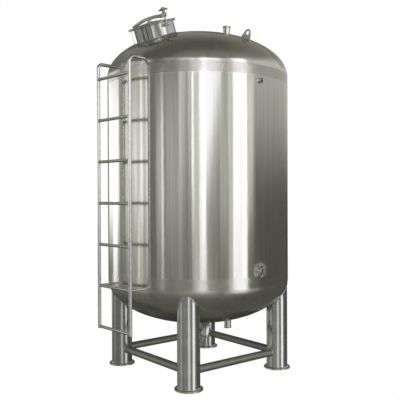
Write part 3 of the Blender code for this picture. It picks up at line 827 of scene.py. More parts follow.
def dish(radius, depth):
    """A quarter of an ellipse, crown to rim, as (reach, height) points."""
    turns = [math.pi / 2 * i / HEAD_ROWS for i in range(HEAD_ROWS + 1)]
    return [(radius * math.sin(a), depth * math.cos(a)) for a in turns]


def head_section(upper):
    """Half section of a head, from the crown outside, to the seam, and back up inside."""
    outside = [(x, UPPER_TANGENT + z) for x, z in dish(SHELL_R, HEAD_DEPTH)]
    inside = [(x, UPPER_TANGENT + z) for x, z in dish(SHELL_R - SHEET, HEAD_DEPTH - SHEET)]
    section = outside + [(SHELL_R, UPPER_SEAM), (SHELL_R - SHEET, UPPER_SEAM)] + inside[::-1]
    if upper:
        return section
    total = LOWER_TANGENT + UPPER_TANGENT
    return [(x, total - z) for x, z in section]


def true_normal(place):
    """The vessel's own outward direction at a place on it."""
    x, y, z = place - AXIS
    over = max(z - UPPER_TANGENT, 0) + min(z - LOWER_TANGENT, 0)
    scale = (SHELL_R / HEAD_DEPTH) ** 2
    return Vector((x, y, over * scale)).normalized()


def vessel_normals(mesh):
    """Outer and inner walls take the formula's normals, cut edges keep their faces' own."""
    normals = []
    for face in mesh.polygons:
        facing = face.normal.dot(true_normal(face.center))
        for index in face.vertices:
            out = true_normal(mesh.vertices[index].co)
            if abs(facing) > WALL_FACING:
                normals.append(math.copysign(1, facing) * out)
            else:
                normals.append(face.normal)
    mesh.normals_split_custom_set(normals)


def wrap_uv(bm, matrix, radius):
    """UV with U up the local Z axis and V round it, both in metres."""
    layer = bm.loops.layers.uv.verify()
    inward = matrix.inverted()
    for face in bm.faces:
        middle = inward @ face.calc_center_median()
        base = math.atan2(middle.y, middle.x)
        for loop in face.loops:
            place = inward @ loop.vert.co
            turn = math.atan2(place.y, place.x)
            turn += math.tau * round((base - turn) / math.tau)
            loop[layer].uv = (place.z, turn * radius)
    return bm


print("a head has", len(head_section(True)), "points in its section")

# %% Where the manway and nozzles sit
MANWAY_BEARING = math.radians(184.0)
MANWAY_REACH, MANWAY_RISE = 0.486, 0.0965
CLAMP_TURN = math.radians(8.0)
NECK_R, NECK_WALL = 0.1835, 0.004
NOZZLE_Y = -0.400
NOZZLE_R, NOZZLE_WALL = 0.029, 0.003


def seat(bearing, reach, height, lean):
    """A frame on the tank: Z leans outwards and X points away from the tank's axis."""
    out = Matrix.Rotation(bearing, 4, "Z")
    spot = AXIS + out.to_3x3() @ Vector((reach, 0, height))
    return Matrix.Translation(spot) @ out @ Matrix.Rotation(lean, 4, "Y")


def manway_seat():
    lean = head_slope(MANWAY_REACH)
    return seat(MANWAY_BEARING, MANWAY_REACH + MANWAY_RISE * math.sin(lean),
                UPPER_TANGENT + head_height(MANWAY_REACH) + MANWAY_RISE * math.cos(lean), lean)


MANWAY = manway_seat()
CLAMP = MANWAY @ Matrix.Rotation(-CLAMP_TURN, 4, "Z")
print("manway at", [round(v, 3) for v in MANWAY.to_translation()])

# %% Shell and heads
PORT_BORE_R = 0.015
UPPER_PORT_Z, LOWER_PORT_Z = 2.446, 0.9225
FACING_FRONT = turned(90, "X")     # local Z points out at the front


def port_seat(height):
    return Matrix.Translation(AXIS + Vector((0, -SHELL_R, height))) @ FACING_FRONT


WELD_ZONES = ((MANWAY, NECK_R + 0.040, NECK_R + 0.130),
              (Matrix.Translation(AXIS + Vector((0, NOZZLE_Y, 0))), NOZZLE_R + 0.004,
               NOZZLE_R + 0.022))
PORT_ZONES = ((port_seat(LOWER_PORT_Z), 0.045, 0.085), (port_seat(UPPER_PORT_Z), 0.020, 0.030))
MIDDLE = (LOWER_TANGENT + UPPER_TANGENT) / 2
SKIRT = (MIDDLE, 0.884, 0.900)
SHELL_STEEL = rolled_steel("brushed shell", TANK_FRAME, SHELL_R, 0.13, 0.90, 0.00030, 1.5e-5,
                           POLISHED, PORT_ZONES)
TOP_STEEL = dished_steel("buffed top head", TANK_FRAME, POLISHED, 0.15, 0.00035, 1.5e-6,
                         WELD_ZONES, SKIRT, SKIRT_TONE, 0.02, 0.0012)
BOTTOM_STEEL = dished_steel("buffed bottom head", TANK_FRAME, POLISHED, 0.24, 0.00022, 0.8e-6,
                            (), SKIRT, POLISHED, -0.09, 0.0007)


def build_vessel():
    finishes = {"top_head": TOP_STEEL, "bottom_head": BOTTOM_STEEL}
    # frame of each bore, its radius, and where its cutter begins and ends
    bores = {"top_head": [(MANWAY, NECK_R - NECK_WALL, -0.4, 0.05)], "bottom_head": []}
    for head, z in (("top_head", UPPER_TANGENT), ("bottom_head", LOWER_TANGENT)):
        spot = Matrix.Translation(AXIS + Vector((0, NOZZLE_Y, z)))
        bores[head].append((spot, NOZZLE_R - NOZZLE_WALL, -0.5, 0.5))
    made = []
    for head, holes in bores.items():
        bm = at(spun(head_section(head == "top_head"), closed=False), TANK_FRAME)
        for spot, radius, low, high in holes:
            bm = carve(bm, at(drum(radius, low, high), spot))
        made.append(keep(bm, "polished_" + head, finishes[head], head, slot="polished_steel"))
    wall = [(SHELL_R, UPPER_SEAM), (SHELL_R, LOWER_SEAM),
            (SHELL_R - SHEET, LOWER_SEAM), (SHELL_R - SHEET, UPPER_SEAM)]
    bm = at(spun(wall), TANK_FRAME)
    for z in (UPPER_PORT_Z, LOWER_PORT_Z):
        bm = carve(bm, at(drum(PORT_BORE_R, -0.1, 0.1, segments=48), port_seat(z)))
    wrap_uv(bm, TANK_FRAME, SHELL_R)
    made.append(keep(bm, "polished_shell", SHELL_STEEL, "shell", slot="polished_steel"))
    for obj in made:
        vessel_normals(obj.data)
    return made


for piece in build_vessel():
    print(piece.name, len(piece.data.polygons), "faces")

# %% [markdown]
# The two round seams are ground nearly flush. What is left is a low band a few millimetres
# wide, which catches the light as one thin line. A weld bead is a ring of low, wide section.

# %% Seams of the vessel
SEAM_HALF, SEAM_PROUD = 0.003, 0.00005


def seam_ring(z):
    """A low lens section round the shell."""
    steps = 6
    low = [(SHELL_R - SEAM_PROUD + 2 * SEAM_PROUD * math.sin(math.pi * i / steps),
            z + SEAM_HALF * math.cos(math.pi * i / steps)) for i in range(steps + 1)]
    return at(spun([(SHELL_R - 2 * SEAM_PROUD, z)] + low), TANK_FRAME)


for label, height in (("upper", UPPER_SEAM), ("lower", LOWER_SEAM)):
    keep(seam_ring(height), label + "_seam_weld", SEAM_STEEL, limit=80)
print("seams at", LOWER_SEAM, UPPER_SEAM)

# %% [markdown]
# A leg is a pipe cut to the head above it: each point of its top ring goes up to the head's
# formula at that distance from the axis. The same ring of points is the path of the weld.

# %% Legs and foot plates
HALF_SPAN = LEG_CIRCLE_R / math.sqrt(2)
FOOT_R, FOOT_T, FOOT_FILLET = 0.1145, 0.012, 0.007
LEG_STEPS = 128
LEG_WELD_R, LEG_WELD_THIN = 0.010, 0.42


def corner_points():
    """The legs' places, named front and rear, left and right."""
    for deep, y in (("front", -HALF_SPAN), ("rear", HALF_SPAN)):
        for side, x in (("left", -HALF_SPAN), ("right", HALF_SPAN)):
            yield f"{deep}_{side}", AXIS + Vector((x, y, 0))


def under_head(place):
    """Height of the bottom head's outside above or below a place."""
    reach = (place - AXIS).xy.length
    return LOWER_TANGENT - head_height(min(reach, SHELL_R))


def leg_pipe(foot):
    bm = at(drum(LEG_R, 0, 1, LEG_STEPS), Matrix.Translation(foot))
    for vert in bm.verts:
        vert.co.z = FOOT_T if vert.co.z < 0.5 else under_head(vert.co)
    return bm


def leg_weld(foot):
    """A smooth ground fillet, thin where pipe and head almost line up and full at the sides."""
    ring = [Vector((x, y, 0)) for x, y in circle(0, 0, LEG_R, LEG_STEPS)]
    path = [(*(foot + spot).xy, under_head(foot + spot)) for spot in ring]
    outward = (foot - AXIS).xy.normalized()
    swell = []
    for spot in ring:
        facing = max(0.0, spot.xy.normalized().dot(outward))
        swell.append(1 - (1 - LEG_WELD_THIN) * facing ** 2)
    return bead(path, LEG_WELD_R, sides=16, swell=swell)


def foot_plate(foot):
    outline = [(0, FOOT_T), (FOOT_R, FOOT_T), (FOOT_R, 0), (0, 0)]
    return at(spun(rounded(outline, (0, 0.002, 0.0005, 0)), steps=128, closed=False),
              Matrix.Translation(foot))


def foot_weld(foot):
    """A fillet between the pipe and its plate."""
    inner, out = LEG_R - 0.001, LEG_R + FOOT_FILLET
    low, high = FOOT_T - 0.0005, FOOT_T + FOOT_FILLET
    hollow = [(out - x, high - z) for x, z in arc(0, 0, FOOT_FILLET, 8, 82, 4)]
    fillet = [(inner, low), (inner, high), *hollow, (out, low)]
    return at(spun(fillet, steps=96), Matrix.Translation(foot))


for corner, foot in corner_points():
    # The rear legs and their welds take the darker steel, which is painted shade.
    leg_steel = REAR_LEG_STEEL if corner.startswith("rear") else LEG_STEEL
    keep(leg_pipe(foot), "pipe_leg_" + corner, leg_steel, "leg_" + corner, slot="bright_steel")
    keep(foot_plate(foot), "round_foot_" + corner, FOOT_STEEL, "foot_plate_" + corner)
    weld(leg_weld(foot), "leg_weld_" + corner, leg_steel, "bright_steel")
    weld(foot_weld(foot), "foot_weld_" + corner)
print("legs reach up to", round(under_head(AXIS + Vector((LEG_CIRCLE_R - LEG_R, 0, 0))), 3))

# %% [markdown]
# The braces are pipes cut to the legs they run between. Each end ring is pushed out until it
# lies on the leg's cylinder.

# %% Braces
BRACE_R, BRACE_Z = 0.0325, 0.1415
BRACE_STEPS = 64
BRACE_WELD_R = 0.0035


def brace_end(y):
    """How far out along the brace its end lies, at that distance from its middle line."""
    return HALF_SPAN - math.sqrt(LEG_R ** 2 - y ** 2)


def brace_pipe():
    """A brace along local X at the origin, cut to both legs."""
    bm = at(drum(BRACE_R, -1, 1, BRACE_STEPS), turned(90, "Y"))
    for vert in bm.verts:
        vert.co.x = math.copysign(brace_end(vert.co.y), vert.co.x)
    return bm


def brace_welds():
    ends = []
    for side in (-1, 1):
        path = [(side * brace_end(y), y, z) for y, z in circle(0, 0, BRACE_R, BRACE_STEPS)]
        ends.append(bead(path, BRACE_WELD_R))
    return joined(*ends)


for number, side in enumerate(("front", "right", "rear", "left")):
    turn = turned(90 * number, "Z")
    spot = TANK_FRAME @ turn @ moved(0, -HALF_SPAN, BRACE_Z)
    keep(at(brace_pipe(), spot), "pipe_brace_" + side, BRACE_STEEL, "brace_" + side)
    weld(at(brace_welds(), spot), "brace_weld_" + side)
print("a brace is", round(2 * brace_end(0), 3), "m long")

# %% [markdown]
# The ladder is all tube: two stiles bent in to the head at the top, seven rungs, and a short
# stand-off on each side lower down. A small bead closes each joint.

# %% Ladder
LADDER_R, LADDER_HALF = 0.9125, 0.2135
STILE_R, STILE_BEND_R, LADDER_TOP_Z = 0.014, 0.040, 2.613
RUNG_R, RUNG_FIRST_Z, RUNG_PITCH, RUNG_COUNT = 0.0125, 0.4537, 0.3385, 7
STANDOFF_R, STANDOFF_SINK = 0.009, 0.004
STILE_SINK, RUNG_SINK = 0.008, 0.006
LADDER = TANK_FRAME @ Matrix.Rotation(MANWAY_BEARING, 4, "Z")


def stile_path(y):
    bend_x = LADDER_R - STILE_BEND_R
    bend_z = LADDER_TOP_Z - STILE_BEND_R
    bend = [(x, y, z) for x, z in arc(bend_x, bend_z, STILE_BEND_R, 0, 90, 12)]
    deep = math.sqrt((SHELL_R - STILE_SINK) ** 2 - LADDER_HALF ** 2)
    return [(LADDER_R, y, RUNG_FIRST_Z - STILE_R)] + bend + [(deep, y, LADDER_TOP_Z)]


def bead_ring(centre, direction, radius, weld_r):
    """A ring of weld round a bar's end, in the ladder's frame."""
    turn = Vector(direction).to_track_quat("Z", "X").to_matrix().to_4x4()
    path = [Vector((x, y, 0)) for x, y in circle(0, 0, radius, 24)]
    return at(bead(path, weld_r), Matrix.Translation(centre) @ turn)


for side, y in (("front", LADDER_HALF), ("rear", -LADDER_HALF)):
    keep(at(tube(stile_path(y), STILE_R, 32), LADDER), "tube_stile_" + side, TUBE_STEEL,
         "ladder_stile_" + side, slot="bright_steel")
    z = RUNG_FIRST_Z + RUNG_PITCH
    wall = math.sqrt(SHELL_R ** 2 - LADDER_HALF ** 2)
    bar = tube([(wall - STANDOFF_SINK, y, z), (LADDER_R, y, z)], STANDOFF_R, 24)
    keep(at(bar, LADDER), "round_standoff_" + side, BAR_STEEL, "ladder_standoff_" + side)
    beads = [bead_ring((LADDER_R - STILE_R, y, z), (1, 0, 0), STANDOFF_R, 0.002)]
    inward = -math.copysign(LADDER_HALF - STILE_R, -y)
    for number in range(RUNG_COUNT):
        rung_z = RUNG_FIRST_Z + number * RUNG_PITCH
        beads.append(bead_ring((LADDER_R, inward, rung_z), (0, 1, 0), RUNG_R, 0.0025))
    weld(at(joined(*beads), LADDER), "ladder_weld_" + side)

for number in range(RUNG_COUNT):
    z = RUNG_FIRST_Z + number * RUNG_PITCH
    ends = [(LADDER_R, y, z) for y in (RUNG_SINK - LADDER_HALF, LADDER_HALF - RUNG_SINK)]
    keep(at(tube(ends, RUNG_R, 32), LADDER), f"tube_rung_{number + 1}", TUBE_STEEL,
         f"ladder_rung_{number + 1}", slot="bright_steel")
print("rungs", RUNG_COUNT, "at", RUNG_PITCH, "m")

# %% [markdown]
# The manway's neck is a rolled ring that stands square on the head, so its foot follows the
# dome. Each point of the foot slides down the neck's own direction until it meets the ellipse,
# which is a quadratic in one unknown.

# %% Meeting the heads
SINK = 0.001


def meets_head(start, heading, tangent):
    """Where a line first meets the head whose tangent line is at that height."""
    shape = Vector((SHELL_R, SHELL_R, HEAD_DEPTH))
    middle = AXIS + Vector((0, 0, tangent))
    begin = Vector(a / b for a, b in zip(start - middle, shape))
    step = Vector(a / b for a, b in zip(heading, shape))
    a, b, c = step.dot(step), 2 * begin.dot(step), begin.dot(begin) - 1
    return start + heading * (-b - math.sqrt(max(0.0, b * b - 4 * a * c))) / (2 * a)


def foot_ring(matrix, points, tangent):
    """Points of the local XY plane, sent down local Z to the head."""
    down = matrix.to_3x3() @ Vector((0, 0, -1))
    return [meets_head(matrix @ Vector((x, y, 0)), down, tangent) for x, y in points]


def settle(bm, matrix, level, tangent):
    """Send the points that lie at a local level down to the head, and a little into it."""
    inward = matrix.inverted()
    down = matrix.to_3x3() @ Vector((0, 0, -1))
    for vert in bm.verts:
        place = inward @ vert.co
        if abs(place.z - level) < MERGE * 10:
            start = matrix @ Vector((place.x, place.y, 0))
            vert.co = meets_head(start, down, tangent) + down * SINK
    return bm


print("the neck's foot is", round(MANWAY_RISE, 4), "m below the rim")

# %% Manway neck, flange and seal
GASKET_T = 0.004
GASKET_IN_R, GASKET_OUT_R = 0.1815, 0.198
FLANGE_R, FLANGE_T = 0.202, 0.005
GAP = 0.0003
RIM_WELD_R, NECK_WELD_R, NECK_STEPS = 0.003, 0.0045, 160
FLANGE_TOP = -GASKET_T / 2 - GAP
# The neck's colour swings strongly between dark and light streaks. These are partly the
# brushing's grain and partly painted reflection bands.
NECK_STEEL = rolled_steel("brushed neck with painted streaks", MANWAY, NECK_R, 0.11, 0.80, 0.0018, 1.5e-4,
                          shaded(WHITE_STEEL, 0.74), pitch=0.040, contrast=0.68)
RIM_STEEL = dished_steel("turned rim", MANWAY, SATIN, 0.24, 0.00002, 1.0e-6)


def build_neck():
    inner = NECK_R - NECK_WALL
    top = FLANGE_TOP - FLANGE_T
    foot = -0.2
    neck = at(spun([(NECK_R, foot), (inner, foot), (inner, top), (NECK_R, top)]), MANWAY)
    settle(neck, MANWAY, foot, UPPER_TANGENT)
    wrap_uv(neck, MANWAY, NECK_R)
    keep(neck, "rolled_neck", NECK_STEEL, "manway_neck", slot="bright_steel")
    section = [(inner, FLANGE_TOP), (FLANGE_R, FLANGE_TOP), (FLANGE_R, top), (inner, top)]
    ring = spun(rounded(section, (0.001, 0.0012, 0.0012, 0.001)))
    keep(at(ring, MANWAY), "rim_flange", RIM_STEEL, "manway_flange")
    half = GASKET_T / 2
    section = [(GASKET_IN_R, half), (GASKET_OUT_R, half), (GASKET_OUT_R, -half),
               (GASKET_IN_R, -half)]
    seal = spun(rounded(section, (0.0015,) * 4))
    keep(at(seal, MANWAY), "silicone_ring", SEAL, "manway_gasket", slot="seal")
    ring = circle(0, 0, NECK_R, NECK_STEPS)
    path = foot_ring(MANWAY, ring, UPPER_TANGENT)
    under = [MANWAY @ Vector((x, y, top - RIM_WELD_R / 3)) for x, y in ring]
    weld(joined(bead(path, NECK_WELD_R, sides=10), bead(under, RIM_WELD_R)), "neck_welds")


build_neck()
print("neck", 2 * NECK_R, "m across")

# %% [markdown]
# The lid is pressed sheet: a shallow dome, a flat ring that lands on the seal, and an edge that
# is just rounded. It is spun from its own half section, so its underside is real too.

# %% Lid and boss
RIM_R, LID_T = 0.206, 0.005
LID_DOME_R, LID_DOME_RISE, LID_EASE = 0.170, 0.020, 1.15
BOSS_R, BOSS_Y = 0.016, -0.020
ARM_HALF_T, ARM_HALF_H = 0.008, 0.0135
ARM_CROWN_Z, ARM_TIP_Z = 0.0565, 0.043
LID_LOW = GASKET_T / 2 + GAP
LID_STEEL = dished_steel("pressed lid", MANWAY, POLISHED, 0.17, 0.00005, 1.0e-6)


def dome_height(reach):
    """Rise of the lid's dome, a cap of a sphere that eases into the flat ring."""
    share = min(reach / LID_DOME_R, 1.0)
    return LID_DOME_RISE * (1 - share ** 2) ** LID_EASE


def lid_section():
    steps = 28
    reaches = [LID_DOME_R * i / steps for i in range(steps + 1)]
    top = [(x, LID_LOW + LID_T + dome_height(x)) for x in reaches]
    under = [(x, LID_LOW + dome_height(x)) for x in reaches]
    edge = [(RIM_R - LID_T / 2 + x, LID_LOW + LID_T / 2 + z)
            for x, z in arc(0, 0, LID_T / 2, 90, -90, 8)]
    return top + edge + under[::-1]


def boss_section():
    foot = LID_LOW + LID_T + LID_DOME_RISE + GAP
    top = ARM_CROWN_Z - ARM_HALF_H + 0.001
    step = foot + 0.005
    outline = [(0, top), (BOSS_R, top), (BOSS_R, step), (1.5 * BOSS_R, step),
               (1.5 * BOSS_R, foot - 0.002), (0, foot - 0.002)]
    return rounded(outline, (0, 0.001, 0.002, 0.0015, 0, 0))


keep(at(spun(lid_section(), closed=False), MANWAY), "pressed_lid", LID_STEEL, "manway_lid",
     slot="polished_steel", body="cover")
keep(at(spun(boss_section(), steps=64, closed=False), CLAMP @ moved(0, BOSS_Y, 0)), "lid_boss",
     FORGED_STEEL, "cover_boss", body="cover")
print("lid", 2 * RIM_R, "m across")

# %% [markdown]
# The arm is a bowed bar with well rounded edges, forked at its free end to take the swing bolt.
# A 2D curve does both: its outline is the side view, its extrude the thickness, and its bevel
# the rounding. The plate's XY becomes the clamp's YZ.

# %% Arm with its fork
HINGE_Y, HINGE_Z = -0.278, 0.030
PIN_R, EYE_R = 0.006, 0.014
BOLT_Y, BOLT_PIVOT_Z, BOLT_R, BOLT_TOP_Z = 0.219, -0.032, 0.007, 0.094
FORK_LOW, FORK_HIGH, FORK_START_Y, FORK_PAST = 0.028, 0.060, 0.178, 0.006
FORK_HALF_W, FORK_SLOT_HALF = 0.020, 0.009
SIDE_ON = turned(90, "Z") @ turned(90, "X")


def arm_outline():
    """Side view of the bow arm: a round eye, then an even bar, level over the boss."""
    steps = 14
    level = 1.2 * BOSS_R
    root_z = HINGE_Z + 0.002
    middle = []
    for i in range(2, steps + 1):
        share = i / steps
        y = HINGE_Y + (BOSS_Y - level - HINGE_Y) * share
        middle.append((y, root_z + (ARM_CROWN_Z - root_z) * math.sin(share * math.pi / 2)))
    for i in range(steps + 1):
        share = i / steps
        y = BOSS_Y + level + (FORK_START_Y + 0.002 - BOSS_Y - level) * share
        fall = 1 - math.cos(share * math.pi / 2)
        middle.append((y, ARM_CROWN_Z + (ARM_TIP_Z - ARM_CROWN_Z) * fall))
    over = [(y, z + ARM_HALF_H) for y, z in middle]
    under = [(y, z - ARM_HALF_H) for y, z in middle]
    return arc(HINGE_Y, HINGE_Z, EYE_R, 80, 290, 24) + under + over[::-1]


def fork_outline():
    """Plan of the fork: a block with a round-ended slot open at its front."""
    past = BOLT_Y + FORK_PAST
    slot = arc(0, BOLT_Y - 0.001, FORK_SLOT_HALF, 0, -180, 12)
    return ([(FORK_HALF_W, FORK_START_Y), (FORK_HALF_W, past), (FORK_SLOT_HALF, past)] + slot
            + [(-FORK_SLOT_HALF, past), (-FORK_HALF_W, past), (-FORK_HALF_W, FORK_START_Y)])


def build_arm():
    bar = at(plate([arm_outline()], 2 * ARM_HALF_T, 0.0055), CLAMP @ SIDE_ON)
    fork = plate([fork_outline()[::-1]], FORK_HIGH - FORK_LOW, 0.003)
    at(fork, CLAMP @ moved(0, 0, (FORK_LOW + FORK_HIGH) / 2))
    keep(joined(bar, fork), "bow_arm", ARM_STEEL, "cover_arm", body="cover")


build_arm()
print("arm from", HINGE_Y, "to", BOLT_Y + FORK_PAST)

# %% Hinge
CHEEK_T, CHEEK_CLEAR = 0.006, 0.0008
WASHER_T, WASHER_EDGE = 0.0015, 0.0004


def hinge_cheek():
    out = HINGE_Y - EYE_R
    low, shelf = -0.055, -0.017
    wall = -(NECK_R - 0.001)
    outline = [(wall, low), (wall, shelf), (HINGE_Y + EYE_R, shelf)]
    outline += arc(HINGE_Y, HINGE_Z, EYE_R, 0, 180, 20) + [(out, low)]
    return outline


def build_hinge():
    cheeks = []
    middle = ARM_HALF_T + CHEEK_CLEAR + CHEEK_T / 2
    for x in (-middle, middle):
        cheek = plate([hinge_cheek()[::-1]], CHEEK_T, 0.0012)
        cheeks.append(at(cheek, CLAMP @ moved(x, 0, 0) @ SIDE_ON))
    web = bmesh.new()
    bmesh.ops.create_cube(web, size=1.0)
    low = Vector((-middle, HINGE_Y - EYE_R + 0.001, -0.054))
    high = Vector((middle, -NECK_R, -0.021))
    size = high - low
    at(web, CLAMP @ Matrix.Translation((low + high) / 2) @ Matrix.Diagonal((*size, 1)))
    keep(joined(*cheeks, web), "hinge_cheeks", FORGED_STEEL, "hinge_bracket")
    face = middle + CHEEK_T / 2
    parts = [round_bar(PIN_R, face + 0.004, 0.0015)]
    rim = PIN_R + 0.006
    for z in (-face - WASHER_T, face):
        flat = [(PIN_R, WASHER_T), (rim, WASHER_T), (rim, 0), (PIN_R, 0)]
        washer = spun(rounded(flat, (0, WASHER_EDGE, WASHER_EDGE, 0)), steps=32)
        parts.append(at(washer, moved(0, 0, z)))
    lying = CLAMP @ moved(0, HINGE_Y, HINGE_Z) @ turned(90, "Y")
    keep(at(joined(*parts), lying), "hinge_bar", FORGED_STEEL, "hinge_pin", slot="bright_steel")


build_hinge()
print("hinge pin", 2 * PIN_R, "m thick")

# %% Swing bolt and its lug
EAR, BOLT_EYE_R = 0.013, 0.012
BOLT_PIVOT = CLAMP @ moved(0, BOLT_Y, BOLT_PIVOT_Z)


def build_bolt_lug():
    wall = NECK_R - 0.001
    outline = [(wall, BOLT_PIVOT_Z - EAR)] + arc(BOLT_Y, BOLT_PIVOT_Z, EAR, -90, 90, 20)
    outline += [(wall, BOLT_PIVOT_Z + EAR)]
    middle = BOLT_R + 0.0015 + CHEEK_T / 2
    ears = [at(plate([outline], CHEEK_T, 0.0012), CLAMP @ moved(x, 0, 0) @ SIDE_ON)
            for x in (-middle, middle)]
    keep(joined(*ears), "bolt_ears", EAR_STEEL, "bolt_lug")
    pin = round_bar(PIN_R, middle + CHEEK_T / 2 + 0.003, 0.0012)
    keep(at(pin, BOLT_PIVOT @ turned(90, "Y")), "bolt_hinge_pin", FORGED_STEEL, "bolt_pin",
         slot="bright_steel")


def bolt_section():
    """A shank with a thread of plain grooves on its upper part."""
    pitch, depth = 0.0025, 0.0009
    top = BOLT_TOP_Z - BOLT_PIVOT_Z
    thread_low = FORK_LOW - BOLT_PIVOT_Z - 0.006
    outline = [(0, top), (BOLT_R - depth, top)]
    count = int((top - thread_low - 0.001) / pitch)
    for i in range(count):
        z = top - 0.0008 - i * pitch
        outline += [(BOLT_R, z - pitch * 0.2), (BOLT_R, z - pitch * 0.35),
                    (BOLT_R - depth, z - pitch * 0.7), (BOLT_R - depth, z - pitch * 0.85)]
    outline += [(BOLT_R, thread_low - 0.002), (BOLT_R, 0), (0, 0)]
    return outline


def build_swing_bolt():
    shank = spun(bolt_section(), steps=40, closed=False)
    eye = at(round_bar(BOLT_EYE_R, BOLT_R, 0.0015, 48), turned(90, "Y"))
    keep(at(joined(shank, eye), BOLT_PIVOT), "threaded_bolt", FORGED_STEEL, "swing_bolt",
         slot="bright_steel", body="swing_bolt_body", limit=35)


build_bolt_lug()
build_swing_bolt()
print("swing bolt", round(BOLT_TOP_Z - BOLT_PIVOT_Z, 3), "m long")

# %% [markdown]
# The hand nut looks like a small umbrella: a domed hub, four bent spokes and a round rim.

# %% Hand wheel
WHEEL_Z, WHEEL_R, WHEEL_RING_R = 0.085, 0.034, 0.005
HUB_R, HUB_TOP_Z, HUB_DOME, HUB_FLANGE = 0.012, 0.106, 0.007, 0.003
SPOKE_R, SPOKE_COUNT, SPOKE_ROOT = 0.003, 4, 0.6 * HUB_R


def build_wheel():
    low = FORK_HIGH + GAP - WHEEL_Z
    high = HUB_TOP_Z - WHEEL_Z
    flange = HUB_R + HUB_FLANGE
    dome = [(HUB_R * math.sin(a), high - HUB_DOME + HUB_DOME * math.cos(a))
            for a in (math.pi / 2 * i / 8 for i in range(9))]
    hub = dome + [(HUB_R, low + 0.006), (flange, low + 0.004), (flange, low), (0, low)]
    parts = [spun(hub, steps=64, closed=False)]
    rim = [Vector((x, y, 0)) for x, y in circle(0, 0, WHEEL_R, 72)]
    parts.append(bead(rim, WHEEL_RING_R, sides=16))
    for number in range(SPOKE_COUNT):
        turn = math.tau * (number + 0.5) / SPOKE_COUNT
        spoke = []
        for i in range(9):
            share = i / 8
            reach = SPOKE_ROOT + (WHEEL_R - SPOKE_ROOT) * share
            drop = (high - HUB_DOME - 0.002) * math.cos(share * math.pi / 2)
            spoke.append((reach * math.cos(turn), reach * math.sin(turn), drop))
        parts.append(tube(spoke, SPOKE_R, 12))
    spot = CLAMP @ moved(0, BOLT_Y, WHEEL_Z)
    keep(at(joined(*parts), spot), "hand_nut", ARM_STEEL, "handwheel", slot="bright_steel",
         body="wheel")


build_wheel()
print("hand wheel", 2 * (WHEEL_R + WHEEL_RING_R), "m across")

# %% [markdown]
# Nozzles are short ferrules with a turned lip, open into the tank. The one on top stands up, the
# outlet hangs down, and each foot meets its head on the ellipse.

# %% Nozzles
TOP_NOZZLE_LENGTH, TOP_LIP_R, TOP_LIP_T = 0.060, 0.0335, 0.010
OUTLET_LENGTH, OUTLET_LIP_R, OUTLET_LIP_T = 0.059, 0.0315, 0.006
NOZZLE_WELD_R = 0.003


def build_nozzle(name, node, matrix, length, lip_r, lip_t, tangent):
    """A ferrule whose mouth is at local z = 0 and whose foot runs down local -Z."""
    bore = NOZZLE_R - NOZZLE_WALL
    foot = -2 * length
    taper = lip_r - NOZZLE_R
    outline = [(lip_r, 0), (lip_r, -lip_t), (NOZZLE_R, -lip_t - taper), (NOZZLE_R, foot),
               (bore, foot), (bore, 0)]
    bm = at(spun(rounded(outline, (0.0015, 0.0015, 0.002, 0, 0, 0.001)), steps=96), matrix)
    settle(bm, matrix, foot, tangent)
    keep(bm, name, NOZZLE_STEEL, node)
    return bead(foot_ring(matrix, circle(0, 0, NOZZLE_R, 64), tangent), NOZZLE_WELD_R)


def build_nozzles():
    rise = head_height(-NOZZLE_Y)
    mouth = AXIS + Vector((0, NOZZLE_Y, UPPER_TANGENT + rise + TOP_NOZZLE_LENGTH))
    up = Matrix.Translation(mouth)
    welds = [build_nozzle("top_ferrule", "top_nozzle", up, TOP_NOZZLE_LENGTH, TOP_LIP_R,
                          TOP_LIP_T, UPPER_TANGENT)]
    mouth = AXIS + Vector((0, NOZZLE_Y, LOWER_TANGENT - rise - OUTLET_LENGTH))
    down = Matrix.Translation(mouth) @ turned(180, "X")
    welds.append(build_nozzle("outlet_ferrule", "bottom_outlet", down, OUTLET_LENGTH,
                              OUTLET_LIP_R, OUTLET_LIP_T, LOWER_TANGENT))
    weld(joined(*welds), "nozzle_welds")


build_nozzles()
print("nozzles", 2 * NOZZLE_R, "m across")

# %% [markdown]
# The level ports are short sockets on the front wall. The lower one has a reinforcing pad with
# rounded corners, welded all round.

# %% Ports
PORT_R, PORT_LENGTH, PORT_SUNK = 0.0195, 0.022, 0.004
THREAD_PITCH, THREAD_DEPTH = 0.003, 0.0007
PAD_HALF_W, PAD_HALF_H, PAD_CORNER, PAD_T = 0.037, 0.050, 0.020, 0.006
PORT_WELD_R, PAD_WELD_R = 0.0018, 0.0020


def rounded_rectangle(half_w, half_h, corner):
    x, y = half_w - corner, half_h - corner
    middles = ((x, y), (-x, y), (-x, -y), (x, -y))
    return [point for number, (cx, cy) in enumerate(middles)
            for point in arc(cx, cy, corner, 90 * number, 90 * (number + 1), 8)]


def on_wall(points, proud):
    """Points of a port's XY plane, laid on the round wall."""
    return [Vector((x, y, math.sqrt(SHELL_R ** 2 - x * x) - SHELL_R + proud)) for x, y in points]


def ragged(outline):
    """A hand weld's path and swelling: it wanders and thickens round the pad."""
    path, swell = [], []
    for x, y in outline:
        turn = math.atan2(y, x)
        wander = 1 + 0.09 * math.sin(3 * turn + 0.6) + 0.08 * math.sin(5 * turn + 2.0)
        path.append((x * wander, y * wander))
        swell.append(1 + 0.45 * math.sin(4 * turn + 1.0) + 0.2 * math.sin(9 * turn))
    return path, swell


